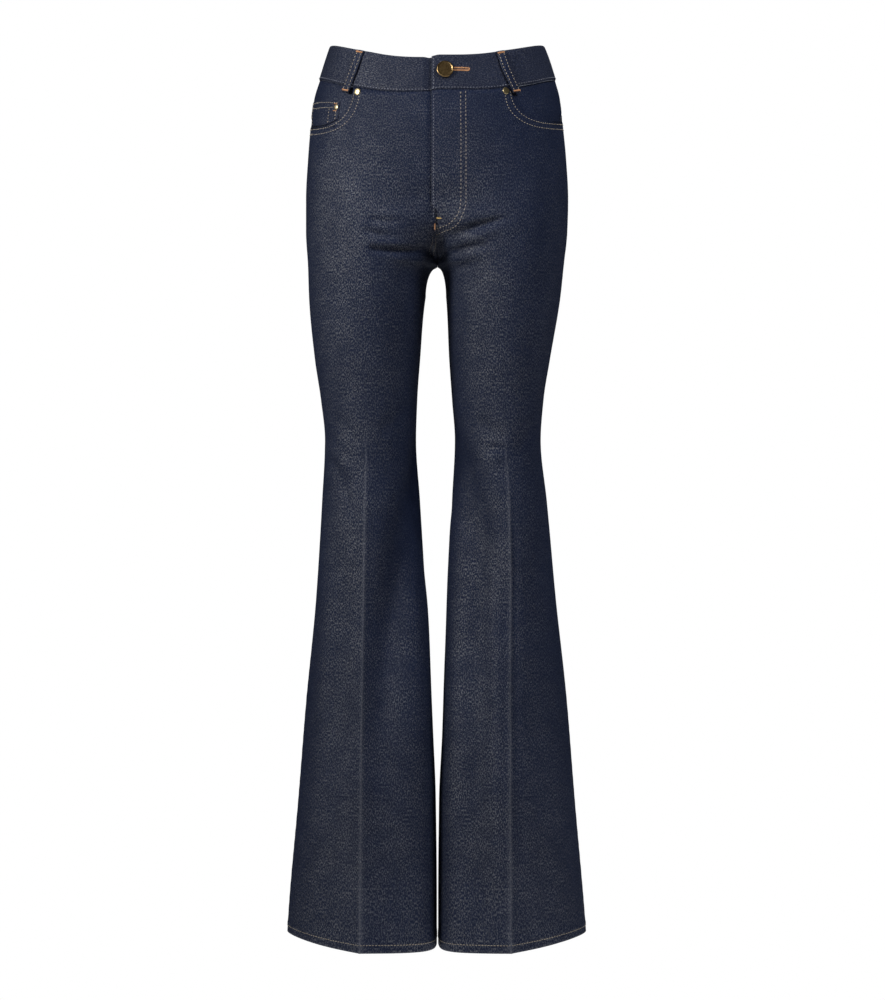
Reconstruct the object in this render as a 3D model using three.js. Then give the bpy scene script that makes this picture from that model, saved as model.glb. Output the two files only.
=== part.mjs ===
// High-waisted flared jeans, worn shape with no wearer. Millimetres, +Z up, the front faces -Y.
// The origin is the middle of the waist, near half the waistband's height at the sides.
// "Right" and "left" are the wearer's: the right half lies at -X, the left half at +X.
import * as THREE from "three";
import { mergeVertices } from "three/addons/utils/BufferGeometryUtils.js";

// Driving dimensions
const DENIM = 1.6; // one layer of cloth
const BAND = 3.2; // folded waistband
const BAND_PROUD = 1.1; // how far the band's face stands out from the panels
const SEAM = 0.3; // gap between sewn pieces
const LAYER = 0.7; // gap between cloth layers that lie on each other
const BEHIND = 1.7; // gap between a front panel and the facing behind it
const WAIST_TOP = 18.4; // side height of the band's top edge
const BAND_HEIGHT = 42;
const BAND_SEAM = WAIST_TOP - BAND_HEIGHT; // side height of the band's lower edge
const HEM = -1077; // side height of the hem
const RISE_START = -179; // where the front and back rise begin to curve under
const CROTCH = -254; // where the four leg panels meet
const ARCH_END = -291; // where the arch over the gap between the legs ends
const CROTCH_Y = 4;
const INSEAM_LEVEL = { z: -600, ease: 300 }; // below this the inseam lies midway between front and back
const OVERLAP = 7; // how far the fly and the band's end reach past the centre front
const UNDERLAP = 30; // how far the band's hidden end reaches under the other
const FLY = { end: -196, ease: 12, lead: 14, under: 9, slope: 8 }; // the right panel lies under the left
const HEM_FOLD = { height: 11, extra: 1.2, ease: 4 }; // extra thickness of the turned hem

// Width of each half, and half the gap between the legs, by height at the side seam
const OUTLINE = table(["z", "rightSide", "leftSide", "rightGap", "leftGap"], [
  [20, 132, 131, 0, 0],
  [2, 138, 138, 0, 0],
  [-22, 145.5, 145.5, 0, 0],
  [-47, 153, 152, 0, 0],
  [-84, 157.5, 156, 0, 0],
  [-121, 160.5, 159.5, 0, 0],
  [-171, 163, 162, 0, 0],
  [-211, 163, 161, 0, 0],
  [-254, 160.5, 156.5, 0, 0],
  [-291, 159.3, 152.5, 14.5, 10.5],
  [-369, 152, 139.5, 21.5, 14.5],
  [-419, 144.5, 131.5, 25, 18],
  [-469, 139.5, 128, 26.5, 21.5],
  [-543, 143, 135.5, 21.7, 18],
  [-667, 150.7, 147, 14.3, 14],
  [-791, 163, 160.5, 8, 9],
  [-915, 173, 170.5, 2, 2],
  [-1039, 184, 181.5, 0.7, 0.7],
  [-1077, 186.5, 184.5, 0.7, 0.7],
]);

// Depth of the front and back, at the centre seams and at the pressed crease lines
const PROFILE = table(["z", "centreFront", "creaseFront", "creaseBack", "centreBack"], [
  [20, -95, -76, 76, 95],
  [-22, -105, -87, 91, 109],
  [-84, -110, -96, 106, 121],
  [-150, -109, -101, 117, 124],
  [-179, -104, -103, 119, 120],
  [-211, -100, -105, 117, 100],
  [-254, -100, -105, 109, 100],
  [-291, -100, -102, 101, 100],
  [-330, -100, -97, 95, 100],
  [-369, -100, -90, 87, 100],
  [-419, -100, -79, 75, 100],
  [-469, -100, -71.5, 67, 100],
  [-510, -100, -69.5, 65, 100],
  [-560, -100, -71, 67, 100],
  [-667, -100, -78, 77, 100],
  [-791, -100, -86, 87, 100],
  [-915, -100, -92, 93, 100],
  [-1077, -100, -96, 98, 100],
]);

// Where the crease line runs, how the cloth turns there, and how sharply it is pressed (degrees)
const CREASES = table(["z", "rightX", "leftX", "turn", "pressed", "full"], [
  [20, 80, 80, 28, 0, 1],
  [-84, 85, 85, 23, 0, 1],
  [-179, 83, 83, 11, 0, 1.05],
  [-254, 82, 80, 2, 0, 1.1],
  [-369, 84, 78, 0, 0, 1.05],
  [-469, 86, 82, 3, 2, 1],
  [-543, 88, 87, 7, 8, 1],
  [-667, 90, 90, 11, 17, 1.3],
  [-791, 92, 90, 14, 22, 1.5],
  [-1077, 94, 89, 15, 24, 1.62],
]);

// How far the centre seams hang below the side at the same girth
const DIPS = table(["z", "rightFront", "leftFront", "back", "late"], [
  [20, 26.3, 23.3, 8, 1.55],
  [-22, 27.3, 24.8, 8, 2.3],
  [-84, 14, 13, 2, 1.7],
  [-150, 0, 0, 0, 1],
  [-990, 0, 0, 0, 3.8],
  [-1077, 15, 15, 15, 3.8],
]);

// Largest folds of the front, as troughs from a to b at a spread and depth; x is out from the centre
const FOLDS = rowsOf(["half", "ax", "az", "bx", "bz", "spread", "depth"], [
  [-1, 100, -190, 24, -195, 5, 1.3],
  [-1, 90, -215, 42, -221, 5, 1.5],
  [-1, 88, -228, 6, -236, 5, 4],
  [-1, 57, -250, 14, -245, 5, 2],
  [1, 6, -226, 48, -209, 6, 4.2],
  [1, 48, -209, 88, -198, 6, 3],
  [1, 12, -240, 60, -228, 5, 4],
  [1, 16, -250, 48, -254, 5, 1.6],
  [-1, 20, -490, 24, -534, 10, 5],
  [-1, 24, -534, 57, -655, 14, 11],
  [-1, 57, -655, 76, -800, 11, 9],
  [-1, 76, -800, 86, -953, 8, 5],
  [-1, 86, -953, 88, -1088, 6, 3],
  [1, 24, -468, 40, -524, 9, 6],
  [1, 40, -524, 71, -625, 9, 7],
  [1, 36, -660, 46, -1000, 12, 4.5],
  [1, 46, -1000, 46, -1088, 12, 3],
  [1, 94, -560, 98, -1085, 8, 1.5],
]);

// Turns rows of numbers into objects with named columns
function rowsOf(names, rows) {
  return rows.map((row) => Object.fromEntries(names.map((name, i) => [name, row[i]])));
}

// The same, sorted by z, and read between rows with a monotone cubic
function table(names, rows) {
  const sorted = rowsOf(names, rows).sort((a, b) => a.z - b.z);
  const reader = {};
  for (const name of names) reader[name] = monotone(sorted.map((r) => r.z), sorted.map((r) => r[name]));
  return reader;
}

function monotone(xs, ys) {
  const n = xs.length;
  const step = xs.slice(1).map((x, i) => x - xs[i]);
  const slope = step.map((h, i) => (ys[i + 1] - ys[i]) / h);
  const tangent = ys.map((_, i) => {
    if (i === 0) return slope[0];
    if (i === n - 1) return slope[n - 2];
    if (slope[i - 1] * slope[i] <= 0) return 0;
    const wa = 2 * step[i] + step[i - 1];
    const wb = step[i] + 2 * step[i - 1];
    return (wa + wb) / (wa / slope[i - 1] + wb / slope[i]);
  });
  return (x) => {
    let i = 0;
    while (i < n - 2 && x > xs[i + 1]) i++;
    const h = step[i];
    const t = Math.min(1, Math.max(0, (x - xs[i]) / h));
    return (
      ys[i] * (1 + 2 * t) * (1 - t) ** 2 +
      h * tangent[i] * t * (1 - t) ** 2 +
      ys[i + 1] * t * t * (3 - 2 * t) -
      h * tangent[i + 1] * t * t * (1 - t)
    );
  };
}

const radians = (degrees) => (degrees * Math.PI) / 180;
const mix = (a, b, t) => a + (b - a) * t;
const clamp01 = (t) => Math.min(1, Math.max(0, t));
const smooth = (t) => clamp01(t) ** 2 * (3 - 2 * clamp01(t));

// Handle lengths of a curve as shares of its chord: of a straight one, and what a right angle adds
const STRAIGHT_REACH = 1 / 3;
const BEND_REACH = 0.219;

// A curve from a to b that leaves along da and arrives along db. Full is 1 on an ellipse.
function arc(a, da, b, db, full, t) {
  const chord = [b[0] - a[0], b[1] - a[1]];
  const turned = Math.acos(clamp01(Math.abs(da[0] * db[0] + da[1] * db[1]))) / (Math.PI / 2);
  const reach = (STRAIGHT_REACH + BEND_REACH * turned * turned) * mix(1, full, turned);
  const ha = reach * Math.abs(chord[0] * da[0] + chord[1] * da[1]);
  const hb = reach * Math.abs(chord[0] * db[0] + chord[1] * db[1]);
  const w = [(1 - t) ** 3, 3 * t * (1 - t) ** 2, 3 * t * t * (1 - t), t ** 3];
  return [0, 1].map(
    (k) => w[0] * a[k] + w[1] * (a[k] + ha * da[k]) + w[2] * (b[k] - hb * db[k]) + w[3] * b[k],
  );
}

const RISE_POWER = { front: 2.6, back: 3 }; // how late the rises curve under

// The inner end of a girth: on the rise above the crotch, on the inseam below it
function seamEnd(z, centre, gap, front) {
  if (z >= RISE_START) return { x: 0, y: centre, open: 0 };
  if (z > CROTCH) {
    const t = (RISE_START - z) / (RISE_START - CROTCH);
    const startY = front ? PROFILE.centreFront(RISE_START) : PROFILE.centreBack(RISE_START);
    const power = front ? RISE_POWER.front : RISE_POWER.back;
    return { x: 0, y: mix(startY, CROTCH_Y, t ** power), open: 90 * smooth(t) };
  }
  if (z > ARCH_END) {
    const t = (CROTCH - z) / (CROTCH - ARCH_END);
    return { x: gap * Math.sqrt(1 - (1 - t) ** 2), y: CROTCH_Y, open: 90 };
  }
  return { x: gap, y: CROTCH_Y * smooth((z - INSEAM_LEVEL.z) / INSEAM_LEVEL.ease), open: 90 };
}

// What differs between the halves: pocket mouths and front belt loops, by distance out from the centre
const HALVES = rowsOf(["name", "half", "mouthX", "mouthDrop", "loopTopX", "loopFootX", "rivetX", "rivetZ"], [
  ["right", -1, 102, 62.3, 92.2, 111, 96.8, -29.4],
  ["left", 1, 90, 56, 75, 95.8, 83, -28.6],
]);
const halfRow = (half) => HALVES.find((row) => row.half === half);

// The halves' dips differ, and blend at the centre front: 0 is the left half's, 1 the right half's
const BLEND = { from: -0.018, length: 0.09 };

// A point of the cloth's outer face before folds. u is 0 at the centre front or inseam, 0.5 on the
// front crease line, 1 at the side seam, 1.5 on the back crease line and 2 at the centre back.
// A u below 0 or over 2 is in the other half.
function bodyPoint(half, u, z) {
  if (u < 0) return bodyPoint(-half, -u, z);
  if (u > 2) return bodyPoint(-half, 4 - u, z);
  const right = half < 0;
  const front = u <= 1;
  const sign = front ? -1 : 1;
  const v = front ? u : 2 - u;
  const gap = right ? OUTLINE.rightGap(Math.min(z, ARCH_END)) : OUTLINE.leftGap(Math.min(z, ARCH_END));
  const centre = front ? PROFILE.centreFront(z) : PROFILE.centreBack(z);
  const end = seamEnd(z, centre, gap, front);
  const start = [end.x, end.y * sign];
  const crease = [
    right ? CREASES.rightX(z) : CREASES.leftX(z),
    (front ? PROFILE.creaseFront(z) : PROFILE.creaseBack(z)) * sign,
  ];
  const side = [right ? OUTLINE.rightSide(z) : OUTLINE.leftSide(z), 0];
  // Here the second number grows away from the middle, towards the front or the back
  const turn = CREASES.turn(z);
  const pressed = CREASES.pressed(z);
  const startWay = [Math.cos(radians(end.open)), Math.sin(radians(end.open))];
  const inWay = [Math.cos(radians(turn - pressed)), -Math.sin(radians(turn - pressed))];
  const outWay = [Math.cos(radians(turn + pressed)), -Math.sin(radians(turn + pressed))];
  const full = CREASES.full(z);
  const [x, away] =
    v < 0.5
      ? arc(start, startWay, crease, inWay, full, v * 2)
      : arc(crease, outWay, side, [0, -1], 1, v * 2 - 1);
  const toRight = smooth(((right ? v : -v) - BLEND.from) / BLEND.length);
  const dip = front ? mix(DIPS.leftFront(z), DIPS.rightFront(z), toRight) : DIPS.back(z);
  const round = (1 - Math.cos(Math.PI * v)) / 2;
  return new THREE.Vector3(half * (x + SEAM / 2), away * sign, z - dip * (1 - round ** DIPS.late(z)));
}

// How deep the folds are at a point of the front
function foldDepth(half, x, z) {
  let depth = 0;
  for (const f of FOLDS) {
    if (f.half !== half) continue;
    const along = [f.bx - f.ax, f.bz - f.az];
    const square = along[0] ** 2 + along[1] ** 2;
    const t = clamp01(((x - f.ax) * along[0] + (z - f.az) * along[1]) / square);
    const off = (x - f.ax - t * along[0]) ** 2 + (z - f.az - t * along[1]) ** 2;
    depth = Math.max(depth, f.depth * Math.exp(-off / (2 * f.spread ** 2)));
  }
  return depth;
}

const SIDE_FADE = 0.1; // folds end this far in u before the side seam

// A point at some height over the cloth's outer face
function clothPoint(half, u, z, height) {
  if (u < 0) return clothPoint(-half, -u, z, height);
  if (u > 2) return clothPoint(-half, 4 - u, z, height);
  const du = 1e-3;
  const dz = 0.5;
  const nextU = u >= (u > 1 ? 2 : 1) - du ? u - du : u + du;
  const at = bodyPoint(half, u, z);
  const alongU = bodyPoint(half, nextU, z).sub(at).multiplyScalar(Math.sign(nextU - u));
  const alongZ = bodyPoint(half, u, z + dz).sub(bodyPoint(half, u, z - dz));
  const normal = alongU.cross(alongZ).normalize().multiplyScalar(half);
  const fold = u < 1 ? foldDepth(half, Math.abs(at.x), at.z) * smooth((1 - u) / SIDE_FADE) : 0;
  return at.addScaledVector(normal, height - fold);
}

// The u of the front that lies x out from the centre at a girth
function acrossAt(half, x, z) {
  let low = 0;
  let high = 1;
  for (let i = 0; i < 40; i++) {
    const middle = (low + high) / 2;
    if (Math.abs(bodyPoint(half, middle, z).x) < x) low = middle;
    else high = middle;
  }
  return (low + high) / 2;
}

// The u that lies so many millimetres along the girth from another
function walk(half, u, z, distance) {
  const step = 0.005 * Math.sign(distance);
  let left = Math.abs(distance);
  while (left > 0) {
    const stride = bodyPoint(half, u + step, z).distanceTo(bodyPoint(half, u, z));
    u += step * Math.min(1, left / stride);
    left -= stride;
  }
  return u;
}

// A closed wall between two grids of the same size. Each grid is a list of rows of points.
function wall(outer, inner) {
  const rows = outer.length;
  const columns = outer[0].length;
  const positions = [];
  for (const grid of [outer, inner])
    for (const row of grid) for (const p of row) positions.push(p.x, p.y, p.z);
  const at = (layer, i, j) => layer * rows * columns + i * columns + j;
  const index = [];
  const quad = (a, b, c, d) => index.push(a, b, c, a, c, d);
  for (let i = 0; i + 1 < rows; i++)
    for (let j = 0; j + 1 < columns; j++) {
      quad(at(0, i, j), at(0, i + 1, j), at(0, i + 1, j + 1), at(0, i, j + 1));
      quad(at(1, i, j), at(1, i, j + 1), at(1, i + 1, j + 1), at(1, i + 1, j));
    }
  for (let i = 0; i + 1 < rows; i++) {
    quad(at(0, i, 0), at(1, i, 0), at(1, i + 1, 0), at(0, i + 1, 0));
    quad(at(0, i, columns - 1), at(0, i + 1, columns - 1), at(1, i + 1, columns - 1), at(1, i, columns - 1));
  }
  for (let j = 0; j + 1 < columns; j++) {
    quad(at(0, 0, j), at(0, 0, j + 1), at(1, 0, j + 1), at(1, 0, j));
    quad(at(0, rows - 1, j), at(1, rows - 1, j), at(1, rows - 1, j + 1), at(0, rows - 1, j + 1));
  }
  const geometry = new THREE.BufferGeometry();
  geometry.setAttribute("position", new THREE.Float32BufferAttribute(positions, 3));
  geometry.setIndex(index);
  if (signedVolume(geometry) < 0) turnAround(geometry);
  geometry.computeVertexNormals();
  return geometry;
}

function signedVolume(geometry) {
  const p = geometry.getAttribute("position");
  const corner = (i) => new THREE.Vector3().fromBufferAttribute(p, geometry.index.getX(i));
  let volume = 0;
  for (let i = 0; i < geometry.index.count; i += 3)
    volume += corner(i).dot(corner(i + 1).cross(corner(i + 2))) / 6;
  return volume;
}

function turnAround(geometry) {
  const index = geometry.index.array;
  for (let i = 0; i < index.length; i += 3) [index[i + 1], index[i + 2]] = [index[i + 2], index[i + 1]];
}

// A wall over a stretch of cloth. spot(i, j) gives {half, u, z, top, bottom} for row i and column j,
// with the heights of the two faces over the cloth.
function clothWall(rows, columns, spot) {
  const grid = (face) =>
    Array.from({ length: rows + 1 }, (_, i) =>
      Array.from({ length: columns + 1 }, (_, j) => {
        const s = spot(i / rows, j / columns);
        return clothPoint(s.half, s.u, s.z, s[face]);
      }),
    );
  return wall(grid("top"), grid("bottom"));
}

const EDGE_U = 0.0007; // trims a panel by half a seam gap
const FRONT_COLUMNS = [
  0, 0.06, 0.12, 0.18, 0.24, 0.3, 0.36, 0.42, 0.465, 0.5, 0.54, 0.6, 0.67, 0.74, 0.81, 0.88, 0.94, 1,
];
const LEG_ROWS = [
  -216, -229, -240, -248, -252.5, -254, -255.5, -259, -266, -277, -291, -318, -350, -385, -420, -450,
  -480, -512, -548, -585, -625, -670, -720, -775, -835, -900, -965, -1020, -1052,
];

// Powers of the rounded corner of the pocket mouth: 2 would be an ellipse, more is squarer
const MOUTH_ACROSS = 5;
const MOUTH_DOWN = 2.5;
const MOUTH_RISE = 3.5; // how far its edge comes up again at the side seam

const mouthStart = (half, wider) => acrossAt(half, halfRow(half).mouthX - wider, BAND_SEAM);

// Height of the mouth's edge at a share of its way from its inner end to the side seam
function mouthHeight(half, share, wider) {
  const fall = (1 - (1 - share) ** MOUTH_ACROSS) ** (1 / MOUTH_DOWN);
  return BAND_SEAM - SEAM - (halfRow(half).mouthDrop + wider) * fall + MOUTH_RISE * share ** 3;
}

// The edge of the front pocket's mouth, t from 0 at the band to 1 at the side seam
function pocketEdge(half, t, wider = 0) {
  const share = t * t;
  return { u: mix(mouthStart(half, wider), 1, share), z: mouthHeight(half, share, wider) };
}

// The cloth is thicker where the hem is turned in
const hemThickness = (z) =>
  DENIM + HEM_FOLD.extra * smooth((HEM + HEM_FOLD.height + HEM_FOLD.ease - z) / HEM_FOLD.ease);
const HEM_ROWS = [HEM + HEM_FOLD.height + HEM_FOLD.ease, HEM + HEM_FOLD.height, HEM];
const UPPER_ROWS = [-92, -108, -126, -144, -162, -179, -192, -204];
const MOUTH_LEVEL = -84; // height at the centre of the row that ends at the pocket mouth's outer end

function frontPanel(half) {
  const left = half > 0;
  const pocketRows = 8;
  const below = [...UPPER_ROWS, ...LEG_ROWS, ...HEM_ROWS];
  const rows = pocketRows + below.length;
  const rowEnds = (i) => {
    const t = i / pocketRows;
    if (t <= 1) return { inner: mix(BAND_SEAM - SEAM, MOUTH_LEVEL, t), outer: pocketEdge(half, t) };
    const z = below[i - pocketRows - 1];
    return { inner: z, outer: { u: 1, z: Math.min(z, pocketEdge(half, 1).z - 4 * (i - pocketRows)) } };
  };
  const columns = FRONT_COLUMNS.length - 1;
  return clothWall(rows, columns, (a, b) => {
    const ends = rowEnds(Math.round(a * rows));
    const share = FRONT_COLUMNS[Math.round(b * columns)];
    let innerU = EDGE_U;
    let top = 0;
    const flyOpen = smooth((ends.inner - FLY.end) / FLY.ease);
    if (left) innerU = mix(EDGE_U, -acrossAt(-half, OVERLAP, ends.inner), flyOpen);
    const outerU = Math.min(ends.outer.u, 1 - EDGE_U);
    const u = mix(innerU, outerU, share);
    const z = mix(ends.inner, ends.outer.z, smooth(share));
    if (!left) {
      const out = Math.abs(bodyPoint(half, u, z).x);
      const along = smooth((z - FLY.end + FLY.lead) / FLY.ease);
      top = -(DENIM + LAYER) * along * smooth((OVERLAP + FLY.under - out) / FLY.slope);
    }
    return { half, u, z, top, bottom: top - hemThickness(ends.inner) };
  });
}

// Yoke seam on the back: lower at the centre than at the side
const YOKE = { side: -58, centre: -92, power: 1.2 };
const yokeSeam = (u) => mix(YOKE.side, YOKE.centre, (u - 1) ** YOKE.power);
const SEAT_LEVEL = -205; // below this the rows of the back panel run level

function backPanel(half) {
  const upper = [0.12, 0.28, 0.44, 0.6, 0.74, 0.87];
  const below = [SEAT_LEVEL, ...LEG_ROWS, ...HEM_ROWS];
  const rows = upper.length + below.length;
  const columns = 12;
  return clothWall(rows, columns, (a, b) => {
    const i = Math.round(a * rows);
    const u = mix(1 + EDGE_U, 2 - EDGE_U, b);
    const top = yokeSeam(u) - SEAM;
    let z = i === 0 ? top : below[i - upper.length - 1];
    if (i > 0 && i <= upper.length) z = mix(top, SEAT_LEVEL, upper[i - 1]);
    return { half, u, z, top: 0, bottom: -hemThickness(z) };
  });
}

function yoke(half) {
  return clothWall(4, 12, (a, b) => {
    const u = mix(1 + EDGE_U, 2 - EDGE_U, b);
    return { half, u, z: mix(BAND_SEAM - SEAM, yokeSeam(u), a), top: 0, bottom: -DENIM };
  });
}

// Denim that backs the front pocket's mouth, reaching under it by its margin
const FACING = { margin: 9, footShare: 0.93 };

function pocketFacing(half) {
  const under = -(DENIM + BEHIND);
  return clothWall(9, 8, (a, b) => {
    const edge = pocketEdge(half, a * FACING.footShare, FACING.margin);
    const sideZ = mix(BAND_SEAM - SEAM, pocketEdge(half, 1, FACING.margin).z, a);
    const u = mix(edge.u, 1 - EDGE_U, b);
    return { half, u, z: mix(edge.z, sideZ, b), top: under, bottom: under - DENIM };
  });
}

// Small pocket on the right facing, up to the edge of the front pocket
const COIN = { innerU: 0.667, outerU: 0.96, innerTop: -46.7, outerTop: -51.5, clear: 2.5, height: 1.1 };

function coinPocket(half) {
  const bottom = -(DENIM + BEHIND) + SEAM;
  const startU = mouthStart(half, -COIN.clear);
  return clothWall(5, 6, (a, b) => {
    const u = mix(COIN.innerU, COIN.outerU, b);
    const foot = mouthHeight(half, (u - startU) / (1 - startU), -COIN.clear);
    const z = mix(mix(COIN.innerTop, COIN.outerTop, b), foot, a);
    return { half, u, z, top: bottom + COIN.height, bottom };
  });
}

// Back patch pocket with a pointed foot, laid on the back panel
const PATCH = { width: 138, foot: 120, height: 142, point: 18, top: -104, fromCentre: 104 };

function patchPocket(half) {
  const middle = walk(half, 2, PATCH.top - PATCH.height / 2, -PATCH.fromCentre);
  return clothWall(9, 10, (a, b) => {
    const across = b * 2 - 1;
    const width = mix(PATCH.width, PATCH.foot, a);
    const z = PATCH.top - a * (PATCH.height - PATCH.point * Math.abs(across));
    const u = walk(half, middle, z, (across * width) / 2);
    return { half, u, z, top: LAYER + DENIM, bottom: LAYER };
  });
}

const BAND_ROUND = 0.8; // how far its edges are rounded off
const BAND_STEP = { reach: 10, slope: 8.5 }; // where its end steps down under its start

// The band is one strip: it starts at the front over the right half, goes round by the left side,
// the back and the right side, and ends under its own start.
function waistband() {
  const startU = acrossAt(-1, OVERLAP, 0);
  const endU = acrossAt(1, UNDERLAP, 0);
  const length = startU + 4 + endU;
  const stops = [0, startU + 0.012, startU + 0.06];
  for (let u = 0.12; u <= 3.9; u += 0.09) stops.push(startU + u);
  stops.push(startU + 3.93, startU + 3.955, startU + 3.98, startU + 4, length - endU / 2, length);
  const top = WAIST_TOP;
  const foot = BAND_SEAM;
  const heights = [top, top - 1.2, top - 14, top - 28, foot + 1.2, foot];
  const columns = stops.length - 1;
  const under = BAND + LAYER;
  return clothWall(heights.length - 1, columns, (a, b) => {
    const along = stops[Math.round(b * columns)] - startU;
    const row = Math.round(a * (heights.length - 1));
    const z = heights[row];
    const rounded = row === 0 || row === heights.length - 1 ? BAND_ROUND : 0;
    const half = along <= 2 || along > 4 ? 1 : -1;
    const u = along <= 2 ? along : along <= 4 ? 4 - along : along - 4;
    const out = along > 3 ? Math.abs(bodyPoint(half, u, z).x) : Infinity;
    const near = along > 4 ? 1 : smooth((OVERLAP + BAND_STEP.reach - out) / BAND_STEP.slope);
    const face = BAND_PROUD - under * near;
    return { half, u, z, top: face - rounded, bottom: face - BAND + rounded };
  });
}

// Belt loop: a strip laid over the band, tacked at both ends and standing off between them
const LOOP = { width: 11, thick: 2, stand: 2.4, top: 18, foot: -33.2 };
const SIDE_LOOP = { topU: 1.28, footU: 1.27 }; // these lie just behind the side seams

function beltLoop(half, topU, footU) {
  const rows = 10;
  return clothWall(rows, 2, (a, b) => {
    const z = mix(LOOP.top, LOOP.foot, a);
    const u = walk(half, mix(topU, footU, a), z, (b - 0.5) * LOOP.width);
    const seat = BAND_PROUD + SEAM;
    const bottom = seat + LOOP.stand * Math.sin(Math.PI * a) ** 0.6;
    return { half, u, z, top: bottom + LOOP.thick, bottom };
  });
}

// Metal pieces: the shank button on the band, x and z being its place, and the rivets' caps
const BUTTON = { radius: 10.35, thick: 2.2, rim: 1.3, rimHeight: 0.6, stem: 4, stand: 1.6, x: 9.2, z: -0.4 };
const RIVET = { radius: 4.4, height: 1.5 };
const COIN_RIVET = { radius: 3.3, height: 1.2, x: 124.2, z: -55.3 };

// A solid turned about its own +Z from [radius, height] pairs that start and end on the axis
function turned(profile, segments) {
  const lathe = new THREE.LatheGeometry(profile.map(([r, h]) => new THREE.Vector2(r, h)), segments);
  for (const name of ["normal", "uv"]) lathe.deleteAttribute(name);
  const geometry = mergeVertices(lathe.rotateX(Math.PI / 2), 1e-4);
  const corners = geometry.index.array;
  const kept = [];
  for (let i = 0; i < corners.length; i += 3) {
    const [a, b, c] = corners.slice(i, i + 3);
    if (a !== b && b !== c && c !== a) kept.push(a, b, c);
  }
  geometry.setIndex(kept);
  if (signedVolume(geometry) < 0) turnAround(geometry);
  geometry.computeVertexNormals();
  return geometry;
}

function button() {
  const { radius, thick, rim, rimHeight, stem, stand } = BUTTON;
  const face = stand + thick - rimHeight;
  return turned(
    [
      [0, 0], [stem, 0], [stem, stand], [radius - 0.8, stand], [radius, stand + 0.8],
      [radius, face], [radius - rim / 2, face + rimHeight], [radius - rim, face], [0, face],
    ],
    32,
  );
}

function rivet({ radius, height }) {
  return turned([[0, 0], [radius, 0], [radius, height / 3], [radius * 0.7, height], [0, height]], 16);
}

// Stands a turned piece on the cloth, x out from the centre, with its foot at some height
function seatOn(mesh, half, x, z, height) {
  const u = acrossAt(half, x, z);
  const foot = clothPoint(half, u, z, height);
  const normal = clothPoint(half, u, z, height + 1).sub(foot).normalize();
  mesh.position.copy(foot);
  mesh.quaternion.setFromUnitVectors(new THREE.Vector3(0, 0, 1), normal);
}

const material = (color, roughness, metalness) =>
  new THREE.MeshStandardMaterial({ color, roughness, metalness, side: THREE.FrontSide });
const denim = material(0x2b3042, 0.9, 0);
const brass = material(0xa98a4f, 0.35, 1);

const jeans = new THREE.Group();

function add(name, geometry, finish = denim) {
  const mesh = new THREE.Mesh(geometry, finish);
  mesh.name = name;
  jeans.add(mesh);
  return mesh;
}

for (const { name, half, loopTopX, loopFootX, rivetX, rivetZ } of HALVES) {
  add(`front_${name}`, frontPanel(half));
  add(`back_${name}`, backPanel(half));
  add(`yoke_${name}`, yoke(half));
  add(`pocket_facing_${name}`, pocketFacing(half));
  add(`back_pocket_${name}`, patchPocket(half));
  const loopUs = [acrossAt(half, loopTopX, LOOP.top), acrossAt(half, loopFootX, LOOP.foot)];
  add(`belt_loop_front_${name}`, beltLoop(half, ...loopUs));
  add(`belt_loop_side_${name}`, beltLoop(half, SIDE_LOOP.topU, SIDE_LOOP.footU));
  seatOn(add(`rivet_${name}`, rivet(RIVET), brass), half, rivetX, rivetZ, SEAM);
}
add("belt_loop_back", beltLoop(1, 2, 2));
add("waistband", waistband());
add("button", button(), brass);
seatOn(jeans.getObjectByName("button"), 1, BUTTON.x, BUTTON.z, BAND_PROUD + SEAM);
add("coin_pocket", coinPocket(-1));
const coinFace = SEAM - DENIM - BEHIND + COIN.height;
seatOn(add("coin_rivet", rivet(COIN_RIVET), brass), -1, COIN_RIVET.x, COIN_RIVET.z, coinFace + SEAM);

export default jeans;
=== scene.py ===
"""Looks for the flared jeans: thin cloth shells with their folds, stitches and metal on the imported
model. Lengths are in millimetres in the tables and in metres on the meshes. The front faces -Y,
and "right" and "left" are the wearer's: the right half lies at -X."""
import math

import bpy
import numpy as np
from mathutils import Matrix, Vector


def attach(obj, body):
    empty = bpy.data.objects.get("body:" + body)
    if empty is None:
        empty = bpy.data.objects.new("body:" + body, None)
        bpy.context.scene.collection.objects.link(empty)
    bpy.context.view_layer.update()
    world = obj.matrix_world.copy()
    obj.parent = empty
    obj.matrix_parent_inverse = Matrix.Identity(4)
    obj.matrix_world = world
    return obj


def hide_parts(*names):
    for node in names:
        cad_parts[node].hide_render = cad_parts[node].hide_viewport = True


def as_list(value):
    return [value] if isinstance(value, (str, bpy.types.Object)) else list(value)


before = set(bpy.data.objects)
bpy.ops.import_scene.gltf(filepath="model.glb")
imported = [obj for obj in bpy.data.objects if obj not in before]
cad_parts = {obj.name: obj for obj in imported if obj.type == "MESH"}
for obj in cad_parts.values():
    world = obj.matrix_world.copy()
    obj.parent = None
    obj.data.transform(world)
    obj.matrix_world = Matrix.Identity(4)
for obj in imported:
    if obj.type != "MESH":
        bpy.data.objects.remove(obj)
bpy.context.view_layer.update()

# Sizes shared with the solids
DENIM = 1.5
BAND = 3.2
BAND_PROUD = 1.1
SEAM = 0.06
LAYER = 0.7
BEHIND = 1.7
WAIST_TOP = 18.4
BAND_HEIGHT = 42.0
BAND_SEAM = WAIST_TOP - BAND_HEIGHT
HEM = -1077.0
RISE_START = -179.0
CROTCH = -254.0
ARCH_END = -291.0
CROTCH_Y = 4.0
OVERLAP = 7.0
UNDERLAP = 30.0
FLY_END = -196.0
HEM_FOLD = 11.0
MOUTH_ACROSS = 5.0
MOUTH_DOWN = 2.5
MOUTH_RISE = 3.5

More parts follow.
